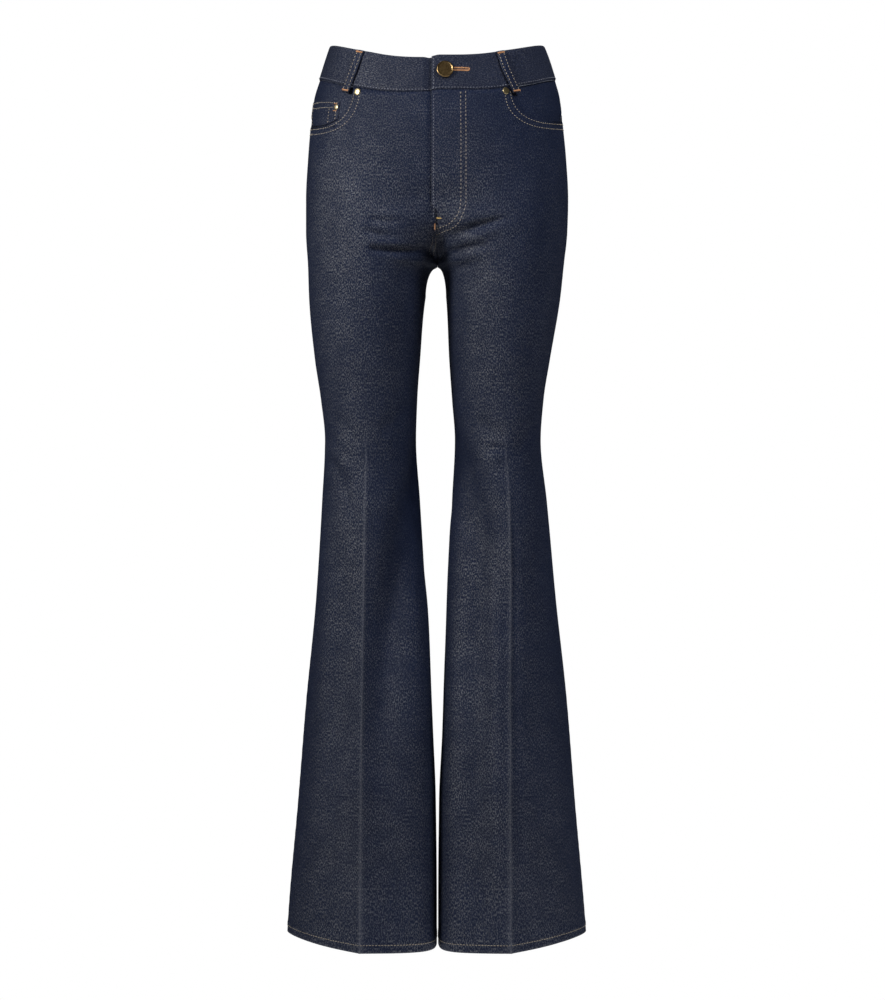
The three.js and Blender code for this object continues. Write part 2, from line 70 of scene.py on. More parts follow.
# Sewing
STITCH_ROWS = (2.2, 8.6)
STITCH_PITCH = 3.8
THREAD = 0.42
GRID = 3.6
FINE_GRID = 2.2
CREASE_COLUMN = 1.1

RIGHT, LEFT = -1.0, 1.0


class Table:
    """Rows with named columns, read between rows with a monotone cubic."""

    def __init__(self, names, rows):
        data = np.array(sorted(rows), float)
        self.z = data[:, 0]
        self.step = np.diff(self.z)
        for i, name in enumerate(names.split()[1:], 1):
            setattr(self, name, self.reader(data[:, i]))

    def reader(self, values):
        slope = np.diff(values) / self.step
        wide = 2 * self.step[1:] + self.step[:-1]
        near = self.step[1:] + 2 * self.step[:-1]
        tangent = np.concatenate([slope[:1], np.zeros(len(values) - 2), slope[-1:]])
        same = slope[:-1] * slope[1:] > 0
        safe_a = np.where(same, slope[:-1], 1)
        safe_b = np.where(same, slope[1:], 1)
        tangent[1:-1] = np.where(same, (wide + near) / (wide / safe_a + near / safe_b), 0)

        def read(z):
            i = np.clip(np.searchsorted(self.z, z) - 1, 0, len(self.z) - 2)
            h = self.step[i]
            t = np.clip((z - self.z[i]) / h, 0, 1)
            return (
                values[i] * (1 + 2 * t) * (1 - t) ** 2
                + h * tangent[i] * t * (1 - t) ** 2
                + values[i + 1] * t * t * (3 - 2 * t)
                - h * tangent[i + 1] * t * t * (1 - t)
            )

        return read


OUTLINE = Table("z right_side left_side right_gap left_gap", [
    (20, 132, 131, 0, 0),
    (2, 138, 138, 0, 0),
    (-22, 145.5, 145.5, 0, 0),
    (-47, 153, 152, 0, 0),
    (-84, 157.5, 156, 0, 0),
    (-121, 160.5, 159.5, 0, 0),
    (-171, 163, 162, 0, 0),
    (-211, 163, 161, 0, 0),
    (-254, 160.5, 156.5, 0, 0),
    (-291, 159.3, 152.5, 14.5, 10.5),
    (-369, 152, 139.5, 21.5, 14.5),
    (-419, 144.5, 131.5, 25, 18),
    (-469, 139.5, 128, 26.5, 21.5),
    (-543, 143, 135.5, 21.7, 18),
    (-667, 150.7, 147, 14.3, 14),
    (-791, 163, 160.5, 8, 9),
    (-915, 173, 170.5, 2, 2),
    (-1039, 184, 181.5, 0.7, 0.7),
    (-1077, 186.5, 184.5, 0.7, 0.7),
])

PROFILE = Table("z centre_front crease_front crease_back centre_back", [
    (20, -95, -76, 76, 95),
    (-22, -105, -87, 91, 109),
    (-84, -110, -96, 106, 121),
    (-150, -109, -101, 117, 124),
    (-179, -104, -103, 119, 120),
    (-211, -100, -105, 117, 100),
    (-254, -100, -105, 109, 100),
    (-291, -100, -102, 101, 100),
    (-330, -100, -97, 95, 100),
    (-369, -100, -90, 87, 100),
    (-419, -100, -79, 75, 100),
    (-469, -100, -71.5, 67, 100),
    (-510, -100, -69.5, 65, 100),
    (-560, -100, -71, 67, 100),
    (-667, -100, -78, 77, 100),
    (-791, -100, -86, 87, 100),
    (-915, -100, -92, 93, 100),
    (-1077, -100, -96, 98, 100),
])

CREASES = Table("z right_x left_x turn pressed full", [
    (20, 80, 80, 28, 0, 1),
    (-84, 85, 85, 23, 0, 1),
    (-179, 83, 83, 11, 0, 1.05),
    (-254, 82, 80, 2, 0, 1.1),
    (-369, 84, 78, 0, 0, 1.05),
    (-469, 86, 82, 3, 2, 1),
    (-543, 88, 87, 7, 8, 1),
    (-667, 90, 90, 11, 17, 1.3),
    (-791, 92, 90, 14, 22, 1.5),
    (-1077, 94, 89, 15, 24, 1.62),
])

DIPS = Table("z right_front left_front back late", [
    (20, 26.3, 23.3, 8, 1.55),
    (-22, 27.3, 24.8, 8, 2.3),
    (-84, 14, 13, 2, 1.7),
    (-150, 0, 0, 0, 1),
    (-990, 0, 0, 0, 3.8),
    (-1077, 15, 15, 15, 3.8),
])

# Folds as lines through points. A point gives distance out from the centre, height, spread and
# depth, and a depth below 0 is a ridge.
FRONT, BACK = 0, 1
FOLDS = {
    (RIGHT, FRONT): [
        [(88, -203, 3, 0), (74, -206, 3, 2.6), (56, -207, 3, 1.8), (40, -206, 3, 0.4)],
        [(72, -199, 5, 0), (60, -200, 5, -1.2), (36, -202, 5, -0.8), (16, -204, 5, 0)],
        [(94, -217, 3, 0), (84, -220, 3, 2.4), (70, -223, 3.4, 2.8), (54, -225, 3, 0.6)],
        [(86, -231, 3.5, 0), (70, -233, 3.5, -1.8), (50, -234, 3.5, -2.2), (22, -236, 4, -0.8)],
        [(86, -238, 2.5, 0), (76, -241, 2.6, 4.4), (52, -242.5, 3, 6), (26, -242, 4, 5.6),
         (5, -241, 5, 4.6)],
        [(60, -254, 5, 0), (44, -253, 5, -1.8), (26, -256, 5, -1), (16, -262, 5, 0)],
        [(34, -262, 4, 0), (24, -262, 4, 1.2), (14, -258, 4, 0.6)],
        [(16, -440, 8, 0), (20, -495, 11, 6), (28, -543, 13, 11), (38, -593, 15, 14.5), (47, -642, 16, 16),
         (56, -689, 16, 16), (62, -738, 15, 14), (66, -788, 14, 11.5), (68, -837, 14, 9), (70, -953, 14, 6),
         (72, -1070, 13, 3)],
        [(22, -540, 8, 0), (20, -600, 9, -4), (21, -690, 9, -5), (20, -790, 9, -4), (18, -880, 9, -2.5),
         (18, -1010, 8, -1)],
        [(40, -760, 7, 0), (36, -830, 8, -1.6), (38, -920, 8, -1.8), (34, -1000, 9, 0)],
        [(134, -484, 4, 0), (126, -500, 4, 2.2), (116, -520, 4.5, 3.2), (108, -545, 5, 2),
         (102, -580, 5, 0)],
        [(140, -470, 5, 0), (130, -482, 5, -1.6), (112, -500, 5, -2), (100, -520, 5, 0)],
        [(128, -430, 5, 0), (116, -452, 5, 1.8), (100, -468, 5, 1.8), (84, -474, 5, 0)],
        [(34, -418, 5, 0), (46, -440, 6, 2), (62, -456, 6, 1.6), (76, -466, 6, 0)],
        [(112, -590, 8, 0), (114, -680, 9, 3), (118, -800, 10, 3.2), (126, -980, 10, 1)],
        [(130, -560, 7, 0), (132, -640, 8, -2.4), (140, -760, 8, -2.2), (148, -900, 9, 0)],
        [(150, -700, 7, 0), (156, -800, 8, 2.2), (164, -920, 8, 1.6), (168, -1030, 8, 0)],
    ],
    (LEFT, FRONT): [
        [(8, -226, 6, 3.2), (24, -222, 4, 4.6), (46, -214, 3.4, 6), (66, -208, 3, 4.6), (84, -203, 2.6, 0.8),
         (92, -201, 3, 0)],
        [(30, -233, 4, 0), (48, -226, 4, -2.2), (68, -219, 4, -1.8), (88, -214, 4, 0)],
        [(12, -208, 6, 0), (34, -203, 6, -1.4), (60, -196, 6, -1.2), (84, -189, 6, 0)],
        [(7, -244, 5, 3.8), (24, -242, 3.6, 5.4), (40, -238, 3, 5), (54, -236, 2.6, 2.4), (64, -236, 3, 0)],
        [(60, -249, 4, 0), (42, -248, 4, -1.8), (24, -251, 4, -1.2), (16, -256, 5, 0)],
        [(46, -261, 3, 0), (34, -260, 3, 2.2), (20, -262, 4, 1.6), (14, -264, 4, 0)],
        [(104, -212, 4, 0), (98, -222, 4, 1.4), (92, -236, 5, 0.8), (90, -250, 5, 0)],
        [(14, -430, 7, 0), (22, -470, 9, 5), (32, -505, 11, 9), (42, -545, 12, 11.5), (50, -590, 12.5, 11),
         (52, -640, 13, 9.5), (50, -700, 13, 8.5), (48, -780, 13, 8), (48, -880, 13, 7), (48, -1000, 13, 5),
         (48, -1072, 12, 3)],
        [(62, -470, 7, 0), (66, -500, 8, -2.2), (74, -530, 8, -2.4), (82, -560, 8, 0)],
        [(60, -600, 7, 0), (64, -650, 7, -2.6), (68, -720, 8, -3.2), (69, -820, 8, -3), (69, -940, 8, -2.4),
         (70, -1060, 8, -1)],
        [(20, -500, 8, 0), (20, -590, 8, -3.5), (19, -700, 9, -4.5), (18, -800, 9, -4), (17, -900, 8, -2.5),
         (17, -1020, 8, -1)],
        [(82, -600, 6, 0), (84, -680, 6, 3.2), (86, -780, 6, 3.6), (86, -940, 6, 3), (86, -1060, 6, 1.4)],
        [(93, -520, 3, 0), (94, -600, 3.4, 1.8), (95, -740, 3.6, 2.4), (97, -900, 3.6, 2),
         (98, -1075, 3.6, 1.4)],
        [(54, -486, 3, 0), (66, -480, 3, 2.2), (80, -481, 3, 1.8), (92, -486, 3, 0)],
        [(60, -492, 4, 0), (74, -491, 4, -1.4), (88, -496, 4, 0)],
        [(40, -436, 5, 0), (56, -452, 6, 1.8), (74, -462, 6, 1.5), (90, -464, 6, 0)],
        [(122, -440, 5, 0), (112, -462, 6, 2), (98, -484, 6, 1.5), (92, -510, 6, 0)],
    ],
    (RIGHT, BACK): [
        [(14, -206, 6, 1.5), (40, -214, 7, 3), (74, -219, 7, 2.4), (108, -214, 6, 0)],
        [(10, -236, 6, 3.4), (38, -246, 7, 4.2), (72, -250, 7, 3), (104, -246, 6, 0)],
        [(16, -270, 5, 1.2), (40, -276, 6, 3), (66, -277, 6, 2.2), (92, -272, 6, 0)],
        [(30, -430, 6, 0), (44, -446, 7, 3.6), (72, -452, 8, 3.8), (104, -444, 7, 2.2), (128, -430, 6, 0)],
        [(30, -474, 6, 0), (50, -478, 7, 3), (82, -472, 7, 3.4), (112, -476, 7, 1.2), (130, -484, 6, 0)],
        [(36, -400, 6, 0), (58, -412, 7, 2), (86, -414, 7, 1.6), (112, -404, 6, 0)],
        [(34, -500, 7, 0), (52, -540, 8, 4), (72, -600, 8, 5), (84, -670, 7, 3.8), (88, -780, 6, 2),
         (90, -900, 6, 0)],
        [(120, -560, 9, 0), (118, -680, 10, 2), (124, -840, 11, 2.2), (130, -1000, 11, 0)],
        [(44, -620, 9, 0), (46, -760, 10, -1.8), (44, -900, 11, -1.6), (42, -1020, 11, 0)],
    ],
    (LEFT, BACK): [
        [(10, -204, 6, 1.2), (44, -210, 7, 2.6), (80, -222, 7, 2.4), (112, -222, 6, 0)],
        [(12, -232, 6, 3), (42, -240, 7, 4), (78, -253, 7, 2.6), (108, -256, 6, 0)],
        [(16, -266, 5, 1), (44, -280, 6, 2.6), (70, -286, 6, 1.8), (96, -282, 6, 0)],
        [(26, -440, 6, 0), (46, -450, 7, 3.2), (76, -446, 8, 3.6), (104, -436, 7, 1.8), (122, -424, 6, 0)],
        [(28, -466, 6, 0), (52, -476, 7, 3.2), (84, -480, 7, 2.8), (110, -470, 7, 1), (124, -462, 6, 0)],
        [(34, -496, 6, 0), (60, -504, 7, 1.8), (88, -502, 7, 1.4), (112, -510, 6, 0)],
        [(40, -510, 7, 0), (56, -560, 8, 3.4), (74, -620, 8, 4.2), (86, -700, 7, 3), (88, -820, 6, 1.2),
         (88, -920, 6, 0)],
        [(116, -570, 9, 0), (120, -700, 10, 2.2), (124, -860, 11, 2), (128, -1020, 11, 0)],
        [(40, -640, 9, 0), (44, -770, 10, -1.6), (42, -920, 11, -1.8), (40, -1040, 11, 0)],
    ],
}

# What differs between the halves
HALVES = {
    RIGHT: dict(name="right", mouth_x=102, mouth_drop=62.3, rivet=(96.8, -29.2)),
    LEFT: dict(name="left", mouth_x=90, mouth_drop=56, rivet=(83, -28.4)),
}


def smooth(t):
    t = np.clip(t, 0, 1)
    return t * t * (3 - 2 * t)


def mix(a, b, t):
    return a + (b - a) * t


def arc(a, da, b, db, full, t):
    """A curve from a to b that leaves along da and arrives along db; full is 1 on an ellipse."""
    turned = np.arccos(np.clip(np.abs(da[0] * db[0] + da[1] * db[1]), 0, 1)) / (math.pi / 2)
    reach = (1 / 3 + 0.219 * turned * turned) * mix(1, full, turned)
    chord = (b[0] - a[0], b[1] - a[1])
    ha = reach * np.abs(chord[0] * da[0] + chord[1] * da[1])
    hb = reach * np.abs(chord[0] * db[0] + chord[1] * db[1])
    w = ((1 - t) ** 3, 3 * t * (1 - t) ** 2, 3 * t * t * (1 - t), t**3)
    return [
        w[0] * a[k] + w[1] * (a[k] + ha * da[k]) + w[2] * (b[k] - hb * db[k]) + w[3] * b[k]
        for k in (0, 1)
    ]


def seam_end(z, gap, front):
    """The inner end of a girth: on the rise above the crotch, on the inseam below it."""
    start = np.where(front, PROFILE.centre_front(RISE_START), PROFILE.centre_back(RISE_START))
    above = np.where(front, PROFILE.centre_front(z), PROFILE.centre_back(z))
    rise = np.clip((RISE_START - z) / (RISE_START - CROTCH), 0, 1)
    y = mix(start, CROTCH_Y, rise ** np.where(front, 2.6, 3.0))
    y = np.where(z >= RISE_START, above, y)
    y = np.where(z <= ARCH_END, CROTCH_Y * smooth((z + 600) / 300), y)
    arch = np.clip((CROTCH - z) / (CROTCH - ARCH_END), 0, 1)
    return gap * np.sqrt(1 - (1 - arch) ** 2), y, np.radians(90 * smooth(rise))


def body_point(half, u, z):
    """A point of the cloth's outer face before folds, as in the solids. u is 0 at the centre front
    or inseam, 0.5 on the front crease, 1 at the side seam, 1.5 on the back crease, 2 at the centre
    back, and below 0 or over 2 in the other half."""
    half, u, z = (np.array(v, float) for v in np.broadcast_arrays(half, u, z))
    half = np.where((u < 0) | (u > 2), -half, half)
    u = np.where(u < 0, -u, np.where(u > 2, 4 - u, u))
    right, front = half < 0, u <= 1
    sign = np.where(front, -1.0, 1.0)
    v = np.where(front, u, 2 - u)
    low = np.minimum(z, ARCH_END)
    gap = np.where(right, OUTLINE.right_gap(low), OUTLINE.left_gap(low))
    end_x, end_y, opened = seam_end(z, gap, front)
    start = (end_x, end_y * sign)
    crease = (
        np.where(right, CREASES.right_x(z), CREASES.left_x(z)),
        np.where(front, PROFILE.crease_front(z), PROFILE.crease_back(z)) * sign,
    )
    side = (np.where(right, OUTLINE.right_side(z), OUTLINE.left_side(z)), 0 * z)
    turn, pressed = np.radians(CREASES.turn(z)), np.radians(CREASES.pressed(z))
    full = CREASES.full(z)
    way_in = (np.cos(turn - pressed), -np.sin(turn - pressed))
    way_out = (np.cos(turn + pressed), -np.sin(turn + pressed))
    inner = arc(start, (np.cos(opened), np.sin(opened)), crease, way_in, full, np.clip(v * 2, 0, 1))
    outer = arc(crease, way_out, side, (0 * z, 0 * z - 1), 1.0, np.clip(v * 2 - 1, 0, 1))
    x = np.where(v < 0.5, inner[0], outer[0])
    away = np.where(v < 0.5, inner[1], outer[1])
    to_right = smooth(0.2 + np.where(right, v, -v) / 0.09)
    front_dip = mix(DIPS.left_front(z), DIPS.right_front(z), to_right)
    dip = np.where(front, front_dip, DIPS.back(z))
    round_ = (1 - np.cos(np.pi * v)) / 2
    fall = dip * (1 - round_ ** DIPS.late(z))
    return np.stack([half * (x + SEAM / 2), away * sign, z - fall], -1)


def fold_depth(half, face, x, z):
    """How deep all folds are together at points of one half and face."""
    depth = np.zeros(np.shape(x))
    for (fold_half, fold_face), folds in FOLDS.items():
        here = (half == fold_half) & (face == fold_face)
        px, pz = x[here], z[here]
        for points in folds if len(px) else []:
            best = np.zeros(len(px))
            for (ax, az, aspread, adepth), (bx, bz, bspread, bdepth) in zip(points, points[1:]):
                dx, dz = bx - ax, bz - az
                t = np.clip(((px - ax) * dx + (pz - az) * dz) / (dx * dx + dz * dz), 0, 1)
                off = (px - ax - t * dx) ** 2 + (pz - az - t * dz) ** 2
                spread = mix(aspread, bspread, t)
                this = mix(adepth, bdepth, smooth(t)) * np.exp(-off / (2 * spread**2))
                best = np.where(np.abs(this) > np.abs(best), this, best)
            depth[here] += best
    return depth


def relief(half, u, at):
    """Everything that stands in or out of the plain cloth, in millimetres inwards."""
    x, z = np.abs(at[..., 0]), at[..., 2]
    side_fade = smooth(np.abs(u - 1) / 0.1)
    rise = np.clip((RISE_START - z) / (RISE_START - CROTCH), 0, 1)
    end_fade = mix(1, smooth(np.minimum(u, 2 - u) / 0.06), smooth(rise / 0.12))
    face = np.where(u < 1, FRONT, BACK)
    depth = fold_depth(half, face, x, z) * side_fade * end_fade
    crease_x = np.where(half < 0, CREASES.right_x(z), CREASES.left_x(z))
    pressed = smooth((-500 - z) / 160)
    depth -= 0.9 * pressed * np.exp(-((x - crease_x) ** 2) / (2 * 1.6**2))
    swell = np.sin(x / 17 + z / 61 + 2 * half) * np.sin(z / 37 - x / 43) + 0.6 * np.sin(z / 23 + x / 29)
    depth += 0.22 * swell * side_fade * end_fade * smooth((-60 - z) / 60)
    # The side seam draws in a little between stitches
    pull = np.exp(-(((u - 1) / 0.018) ** 2)) * (0.35 + 0.2 * np.sin(z / 2.6 + np.sin(z / 11)))
    return depth + pull


def cloth_point(half, u, z, height=0.0):
    """A point at some height over the cloth's outer face, and the cloth's normal there."""
    half, u, z, height = (np.array(v, float) for v in np.broadcast_arrays(half, u, z, height))
    half = np.where((u < 0) | (u > 2), -half, half)
    u = np.where(u < 0, -u, np.where(u > 2, 4 - u, u))
    du, dz = 1e-3, 0.5
    back_step = u >= np.where(u > 1, 2.0, 1.0) - du
    step = np.where(back_step, -du, du)
    at = body_point(half, u, z)
    along_u = (body_point(half, u + step, z) - at) * np.sign(step)[..., None]
    along_z = body_point(half, u, z + dz) - body_point(half, u, z - dz)
    normal = np.cross(along_u, along_z) * half[..., None]
    normal /= np.linalg.norm(normal, axis=-1, keepdims=True)
    return at + normal * (height - relief(half, u, at))[..., None], normal


def across_at(half, x, z):
    """The u of the front that lies x out from the centre at a girth."""
    half, x, z = (np.array(v, float) for v in np.broadcast_arrays(half, x, z))
    low, high = np.zeros(x.shape), np.ones(x.shape)
    for _ in range(30):
        middle = (low + high) / 2
        inside = np.abs(body_point(half, middle, z)[..., 0]) < x
        low, high = np.where(inside, middle, low), np.where(inside, high, middle)
    return (low + high) / 2


def locate(x, z):
    """Half, u and girth height of points of the front given by their place in the front view."""
    x, z = np.array(x, float), np.array(z, float)
    half = np.where(x < 0, RIGHT, LEFT)
    girth = z.copy()
    for _ in range(12):
        u = across_at(half, np.abs(x), girth)
        girth = girth + z - body_point(half, u, girth)[..., 2]
    return half, u, girth


def walk(half, u, z, distance):
    """The u that lies so many millimetres along the girth from another."""
    half, u, z, distance = (np.array(v, float) for v in np.broadcast_arrays(half, u, z, distance))
    u = u.copy()
    left = np.abs(distance)
    step = 0.004 * np.sign(distance)
    while (left > 1e-6).any():
        here = body_point(half, u, z)
        stride = np.linalg.norm(body_point(half, u + step, z) - here, axis=-1)
        part = np.minimum(1, left / np.maximum(stride, 1e-9))
        u = u + step * part
        left = left - stride * part
    return u


# Meshes

def edged(length, spacing=GRID, middle=False):
    """Shares from 0 to 1 at about a spacing, closer at both ends."""
    count = max(2, round(length / spacing))
    count += count % 2 if middle else 0
    near = np.array([0, 0.35, 1.1]) / length
    inner = np.linspace(0, 1, count + 1)[1:-1]
    inner = inner[(inner > 2 / length) & (inner < 1 - 2 / length)]
    crease = 0.5 + np.array([-CREASE_COLUMN, CREASE_COLUMN]) / length if middle else []
    return np.sort(np.concatenate([near, inner, crease, 1 - near[::-1]]))


def rounding(shares, length, radius=0.7):
    """How far a face drops near both ends of its shares."""
    off = np.minimum(shares, 1 - shares) * length
    reach = np.clip(1 - off / (2 * radius), 0, 1)
    return radius * (1 - np.sqrt(1 - np.minimum(reach, 0.999) ** 2))


def new_mesh(name, points, faces, materials, face_slots=None, uv=None, attributes=None):
    mesh = bpy.data.meshes.new(name)
    mesh.from_pydata((points / 1000).tolist(), [], faces.tolist() if hasattr(faces, "tolist") else faces)
    for material in materials:
        mesh.materials.append(material)
    if face_slots is not None:
        mesh.polygons.foreach_set("material_index", np.asarray(face_slots, np.int32))
    corner = np.empty(len(mesh.loops), np.int32)
    mesh.loops.foreach_get("vertex_index", corner)
    if uv is not None:
        layer = mesh.uv_layers.new(name="cloth")
        layer.data.foreach_set("uv", (uv[corner] / 1000).ravel())
    for key, values in (attributes or {}).items():
        layer = mesh.attributes.new(key, "FLOAT", "POINT")
        layer.data.foreach_set("value", np.asarray(values, np.float32))
    mesh.polygons.foreach_set("use_smooth", np.ones(len(mesh.polygons), bool))
    mesh.update()
    piece = bpy.data.objects.new(name, mesh)
    bpy.context.scene.collection.objects.link(piece)
    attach(piece, "root")
    return piece


def strip_faces(rows, columns, offset, turned):
    i, j = np.meshgrid(np.arange(rows - 1), np.arange(columns - 1), indexing="ij")
    a = offset + i * columns + j
    quads = np.stack([a, a + columns, a + columns + 1, a + 1], -1).reshape(-1, 4)
    return quads[:, ::-1] if turned else quads


def shell(name, top, bottom, grain, wear, material, inside):
    """A closed thin wall between two grids of points, with the cloth's grain as its UV map."""
    rows, columns = top.shape[:2]
    count = rows * columns
    points = np.concatenate([top.reshape(-1, 3), bottom.reshape(-1, 3)])
    upper = strip_faces(rows, columns, 0, False)
    lower = strip_faces(rows, columns, count, True)
    index = np.arange(count).reshape(rows, columns)
    ring = np.concatenate([index[0, :-1], index[:-1, -1], index[-1, :0:-1], index[:0:-1, 0]])
    after = np.roll(ring, -1)
    rim = np.stack([ring, after, after + count, ring + count], -1)
    faces = np.concatenate([upper, lower, rim])
    quad = points[upper]
    normal = np.cross(quad[:, 2] - quad[:, 0], quad[:, 3] - quad[:, 1])
    outward = (normal * (top - bottom).reshape(-1, 3)[upper[:, 0]]).sum()
    if outward < 0:
        faces = faces[:, ::-1]
    slots = np.concatenate([np.zeros(len(upper)), np.ones(len(lower)), np.zeros(len(rim))])
    uv = np.concatenate([grain.reshape(-1, 2)] * 2)
    worn = np.concatenate([wear.ravel(), 0 * wear.ravel()])
    # The outer face gets the weft speck mask with its painted sheen and painted shade by facing; the inside
    # gets an even 0.3
    weft_and_sheen_mask = np.concatenate([weft_and_painted_sheen(top), 0.3 + 0 * wear.ravel()])
    return new_mesh(name, points, faces, [material, inside], slots, uv, {"wear": worn, "weft_and_sheen_mask": weft_and_sheen_mask})


def weft_and_painted_sheen(top):
    """How much the light weft shows: most on the front and back of the legs, least at the sides. The weft
    specks are real, but this spread by facing is painted sheen on the fronts and backs and painted shade on
    the sides.
    """
    x, y, z = (top[..., k].ravel() for k in range(3))
    return smooth((np.abs(y) - 8) / 60) * (0.55 + 0.45 * smooth((-60 - z) / 120))


def grain_of(half, u, z, from_u):
    """Distances across and down the cloth, for the weave."""
    u, z = np.broadcast_arrays(u, z)
    at = body_point(half, u, z)
    across = np.linalg.norm(np.diff(at, axis=1), axis=-1)
    across = np.concatenate([np.zeros((len(at), 1)), np.cumsum(across, axis=1)], 1)
    across -= np.array([[np.interp(from_u, *row)] for row in zip(u, across)])
    return np.stack([across, -z], -1)


def area_of(points):
    """Area of a grid of points, in square metres."""
    a = points[1:, 1:] - points[:-1, :-1]
    b = points[1:, :-1] - points[:-1, 1:]
    return float(np.linalg.norm(np.cross(a, b), axis=-1).sum() / 2 / 1e6)


def rise_closed(z):
    """1 where the centre seams curve under between the legs, and the panels' edges stay square."""
    return smooth((RISE_START - z) / 12) * smooth((z - CROTCH + 14) / 10)


def sewn(node, half, u, z, top, under, grain, wear, looks):
    """A sewn piece between two heights over the cloth, in place of its node, and its outer points."""
    points = cloth_point(half, u, z, top)[0]
    inner = cloth_point(half, u, z, under)[0]
    piece = shell(f"cloth_{node}", points, inner, grain, wear + 0 * (u + z), *looks)
    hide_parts(node)
    return piece, points


def declare(piece, top, flat, held, rests_on):
    """Works out the flat area that a piece's shape has, no more than its flat size in metres; nothing is
    kept.
    """
    area = min(area_of(top), flat[0] * flat[1])
    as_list(rests_on)


def hem_thickness(z):
    return DENIM + 1.1 * smooth((HEM + HEM_FOLD + 3 - z) / 3)


def hem_roll(z):
    """The turned hem stands out a little along its inner edge."""
    return 0.35 * np.exp(-(((z - HEM - HEM_FOLD) / 2.2) ** 2)) - 0.5 * smooth((HEM + 0.9 - z) / 0.9)


def mouth_start(half, wider):
    return across_at(half, HALVES[half]["mouth_x"] - wider, BAND_SEAM)


def mouth_height(half, share, wider):
    """Height of the front pocket's edge at a share of its way from its inner end to the side seam."""
    fall = (1 - (1 - share) ** MOUTH_ACROSS) ** (1 / MOUTH_DOWN)
    deep = HALVES[half]["mouth_drop"] + wider
    return BAND_SEAM - SEAM - deep * fall + MOUTH_RISE * share**3


def pocket_edge(half, t, wider=0.0):
    """The edge of the front pocket's mouth, t from 0 at the band to 1 at the side seam."""
    return mix(mouth_start(half, wider), 1.0, t * t), mouth_height(half, t * t, wider)


def facing_height(half, u, z):
    """The facing comes up flush with the back at the side seam, where no front panel covers it."""
    rise = smooth((u - 0.885) / 0.105) * smooth((z - mouth_height(half, 1.0, 0.0) - 4) / 9)
    return mix(-(DENIM + BEHIND), 0.0, rise)


def leg_heights(top):
    """Girth heights of the rows from some height down to the hem."""
    fine = np.arange(top, ARCH_END, -FINE_GRID)
    plain = np.concatenate([fine, np.arange(fine[-1] - FINE_GRID, HEM + HEM_FOLD + 4, -GRID)])
    hem = np.array([14, 12.5, 11, 9.5, 8, 6, 4, 2.2, 0.9, 0.3, 0]) + HEM
    return np.concatenate([plain[plain > hem[0] + 1], hem])


# A thin paler line along the pressed crease below the knee
def crease_paler_line(u, z, crease_u):
    return 2.2 * np.exp(-(((u - crease_u) / 0.005) ** 2)) * smooth((-430 - z) / 120)


def hem_wear(z):
    return 0.5 * np.exp(-(((z - HEM) / 1.6) ** 2))


def front_panel(half, looks):
    wide, pocket_rows, below_top = 240, 22, -84.0
    t = np.linspace(0, 1, pocket_rows + 1)[:-1]
    edge_u, edge_z = pocket_edge(half, t)
    below = leg_heights(below_top - 4)
    inner = np.concatenate([mix(BAND_SEAM - SEAM, below_top, t), [below_top], below])
    outer_u = np.concatenate([edge_u, np.ones(1 + len(below))])
    outer_z = np.concatenate([edge_z, [pocket_edge(half, 1.0)[1]], below])
    share = edged(wide, middle=True)[None, :]
    fly = smooth((inner - FLY_END) / 12)[:, None]
    inner_u = np.zeros((len(inner), 1))
    if half == LEFT:
        inner_u = -fly * across_at(RIGHT, OVERLAP, inner)[:, None]
    u = mix(inner_u, outer_u[:, None], share)
    z = mix(inner[:, None], outer_z[:, None], smooth(share))
    edge = rounding(share, wide) * (1 - rise_closed(z) * (share < 0.5))
    top = -edge
    if half == RIGHT:
        out = np.abs(body_point(half, u, z)[..., 0])
        sink = smooth((z - FLY_END + 14) / 12) * smooth((OVERLAP + 6 - out) / 5)
        top = top - (DENIM + LAYER) * sink
    top = top + hem_roll(inner)[:, None]
    under = top - hem_thickness(inner)[:, None] + 2 * edge
    wear = crease_paler_line(u, z, 0.5) + hem_wear(z) + 0.35 * np.exp(-share * wide / 0.8)
    grain = grain_of(half, u, z, 0.5)
    made = sewn(f"front_{HALVES[half]['name']}", half, u, z, top, under, grain, wear, looks)
    declare(*made, (0.265, 1.095), "hung", ["waistband"])


def yoke_seam(u):
    return mix(-58, -92, (u - 1) ** 1.2)


def back_panel(half, looks):
    wide, below_yoke, plain_top = 245, 110, -205.0
    share = edged(wide, middle=True)[None, :]
    u = 1 + share
    seam = yoke_seam(u) - SEAM
    upper = edged(below_yoke)
    upper = upper[upper < 0.985]
    below = leg_heights(plain_top)
    z = np.concatenate([mix(seam, plain_top, upper[:, None]), below[:, None] * np.ones_like(u)])
    drop = rounding(share, wide) * (1 - rise_closed(z) * (share > 0.5))
    top_edge = np.concatenate([rounding(upper, below_yoke) * (upper < 0.5), 0 * below])[:, None]
    top = hem_roll(z) - drop - top_edge
    under = top - hem_thickness(z) + 2 * drop + 1.2 * top_edge
    wear = crease_paler_line(u, z, 1.5) + hem_wear(z)
    name = HALVES[half]["name"]
    made = sewn(f"back_{name}", half, u, z, top, under, grain_of(half, u, z, 1.5), wear, looks)
    declare(*made, (0.275, 1.045), "hung", [f"cloth_yoke_{name}"])


def yoke(half, looks):
    down, wide = 60, 200
    rows, share = edged(down)[:, None], edged(wide)[None, :]
    u = 1 + share
    z = mix(BAND_SEAM - SEAM, yoke_seam(u), rows)
    drop = np.maximum(rounding(rows, down), rounding(share, wide))
    wear = 0.4 * np.exp(-(1 - rows) * down / 0.8)
    grain = grain_of(half, u, z, 1.5)
    made = sewn(f"yoke_{HALVES[half]['name']}", half, u, z, -drop, drop - DENIM, grain, wear, looks)
    declare(*made, (0.215, 0.1), "stretched", ["waistband"])


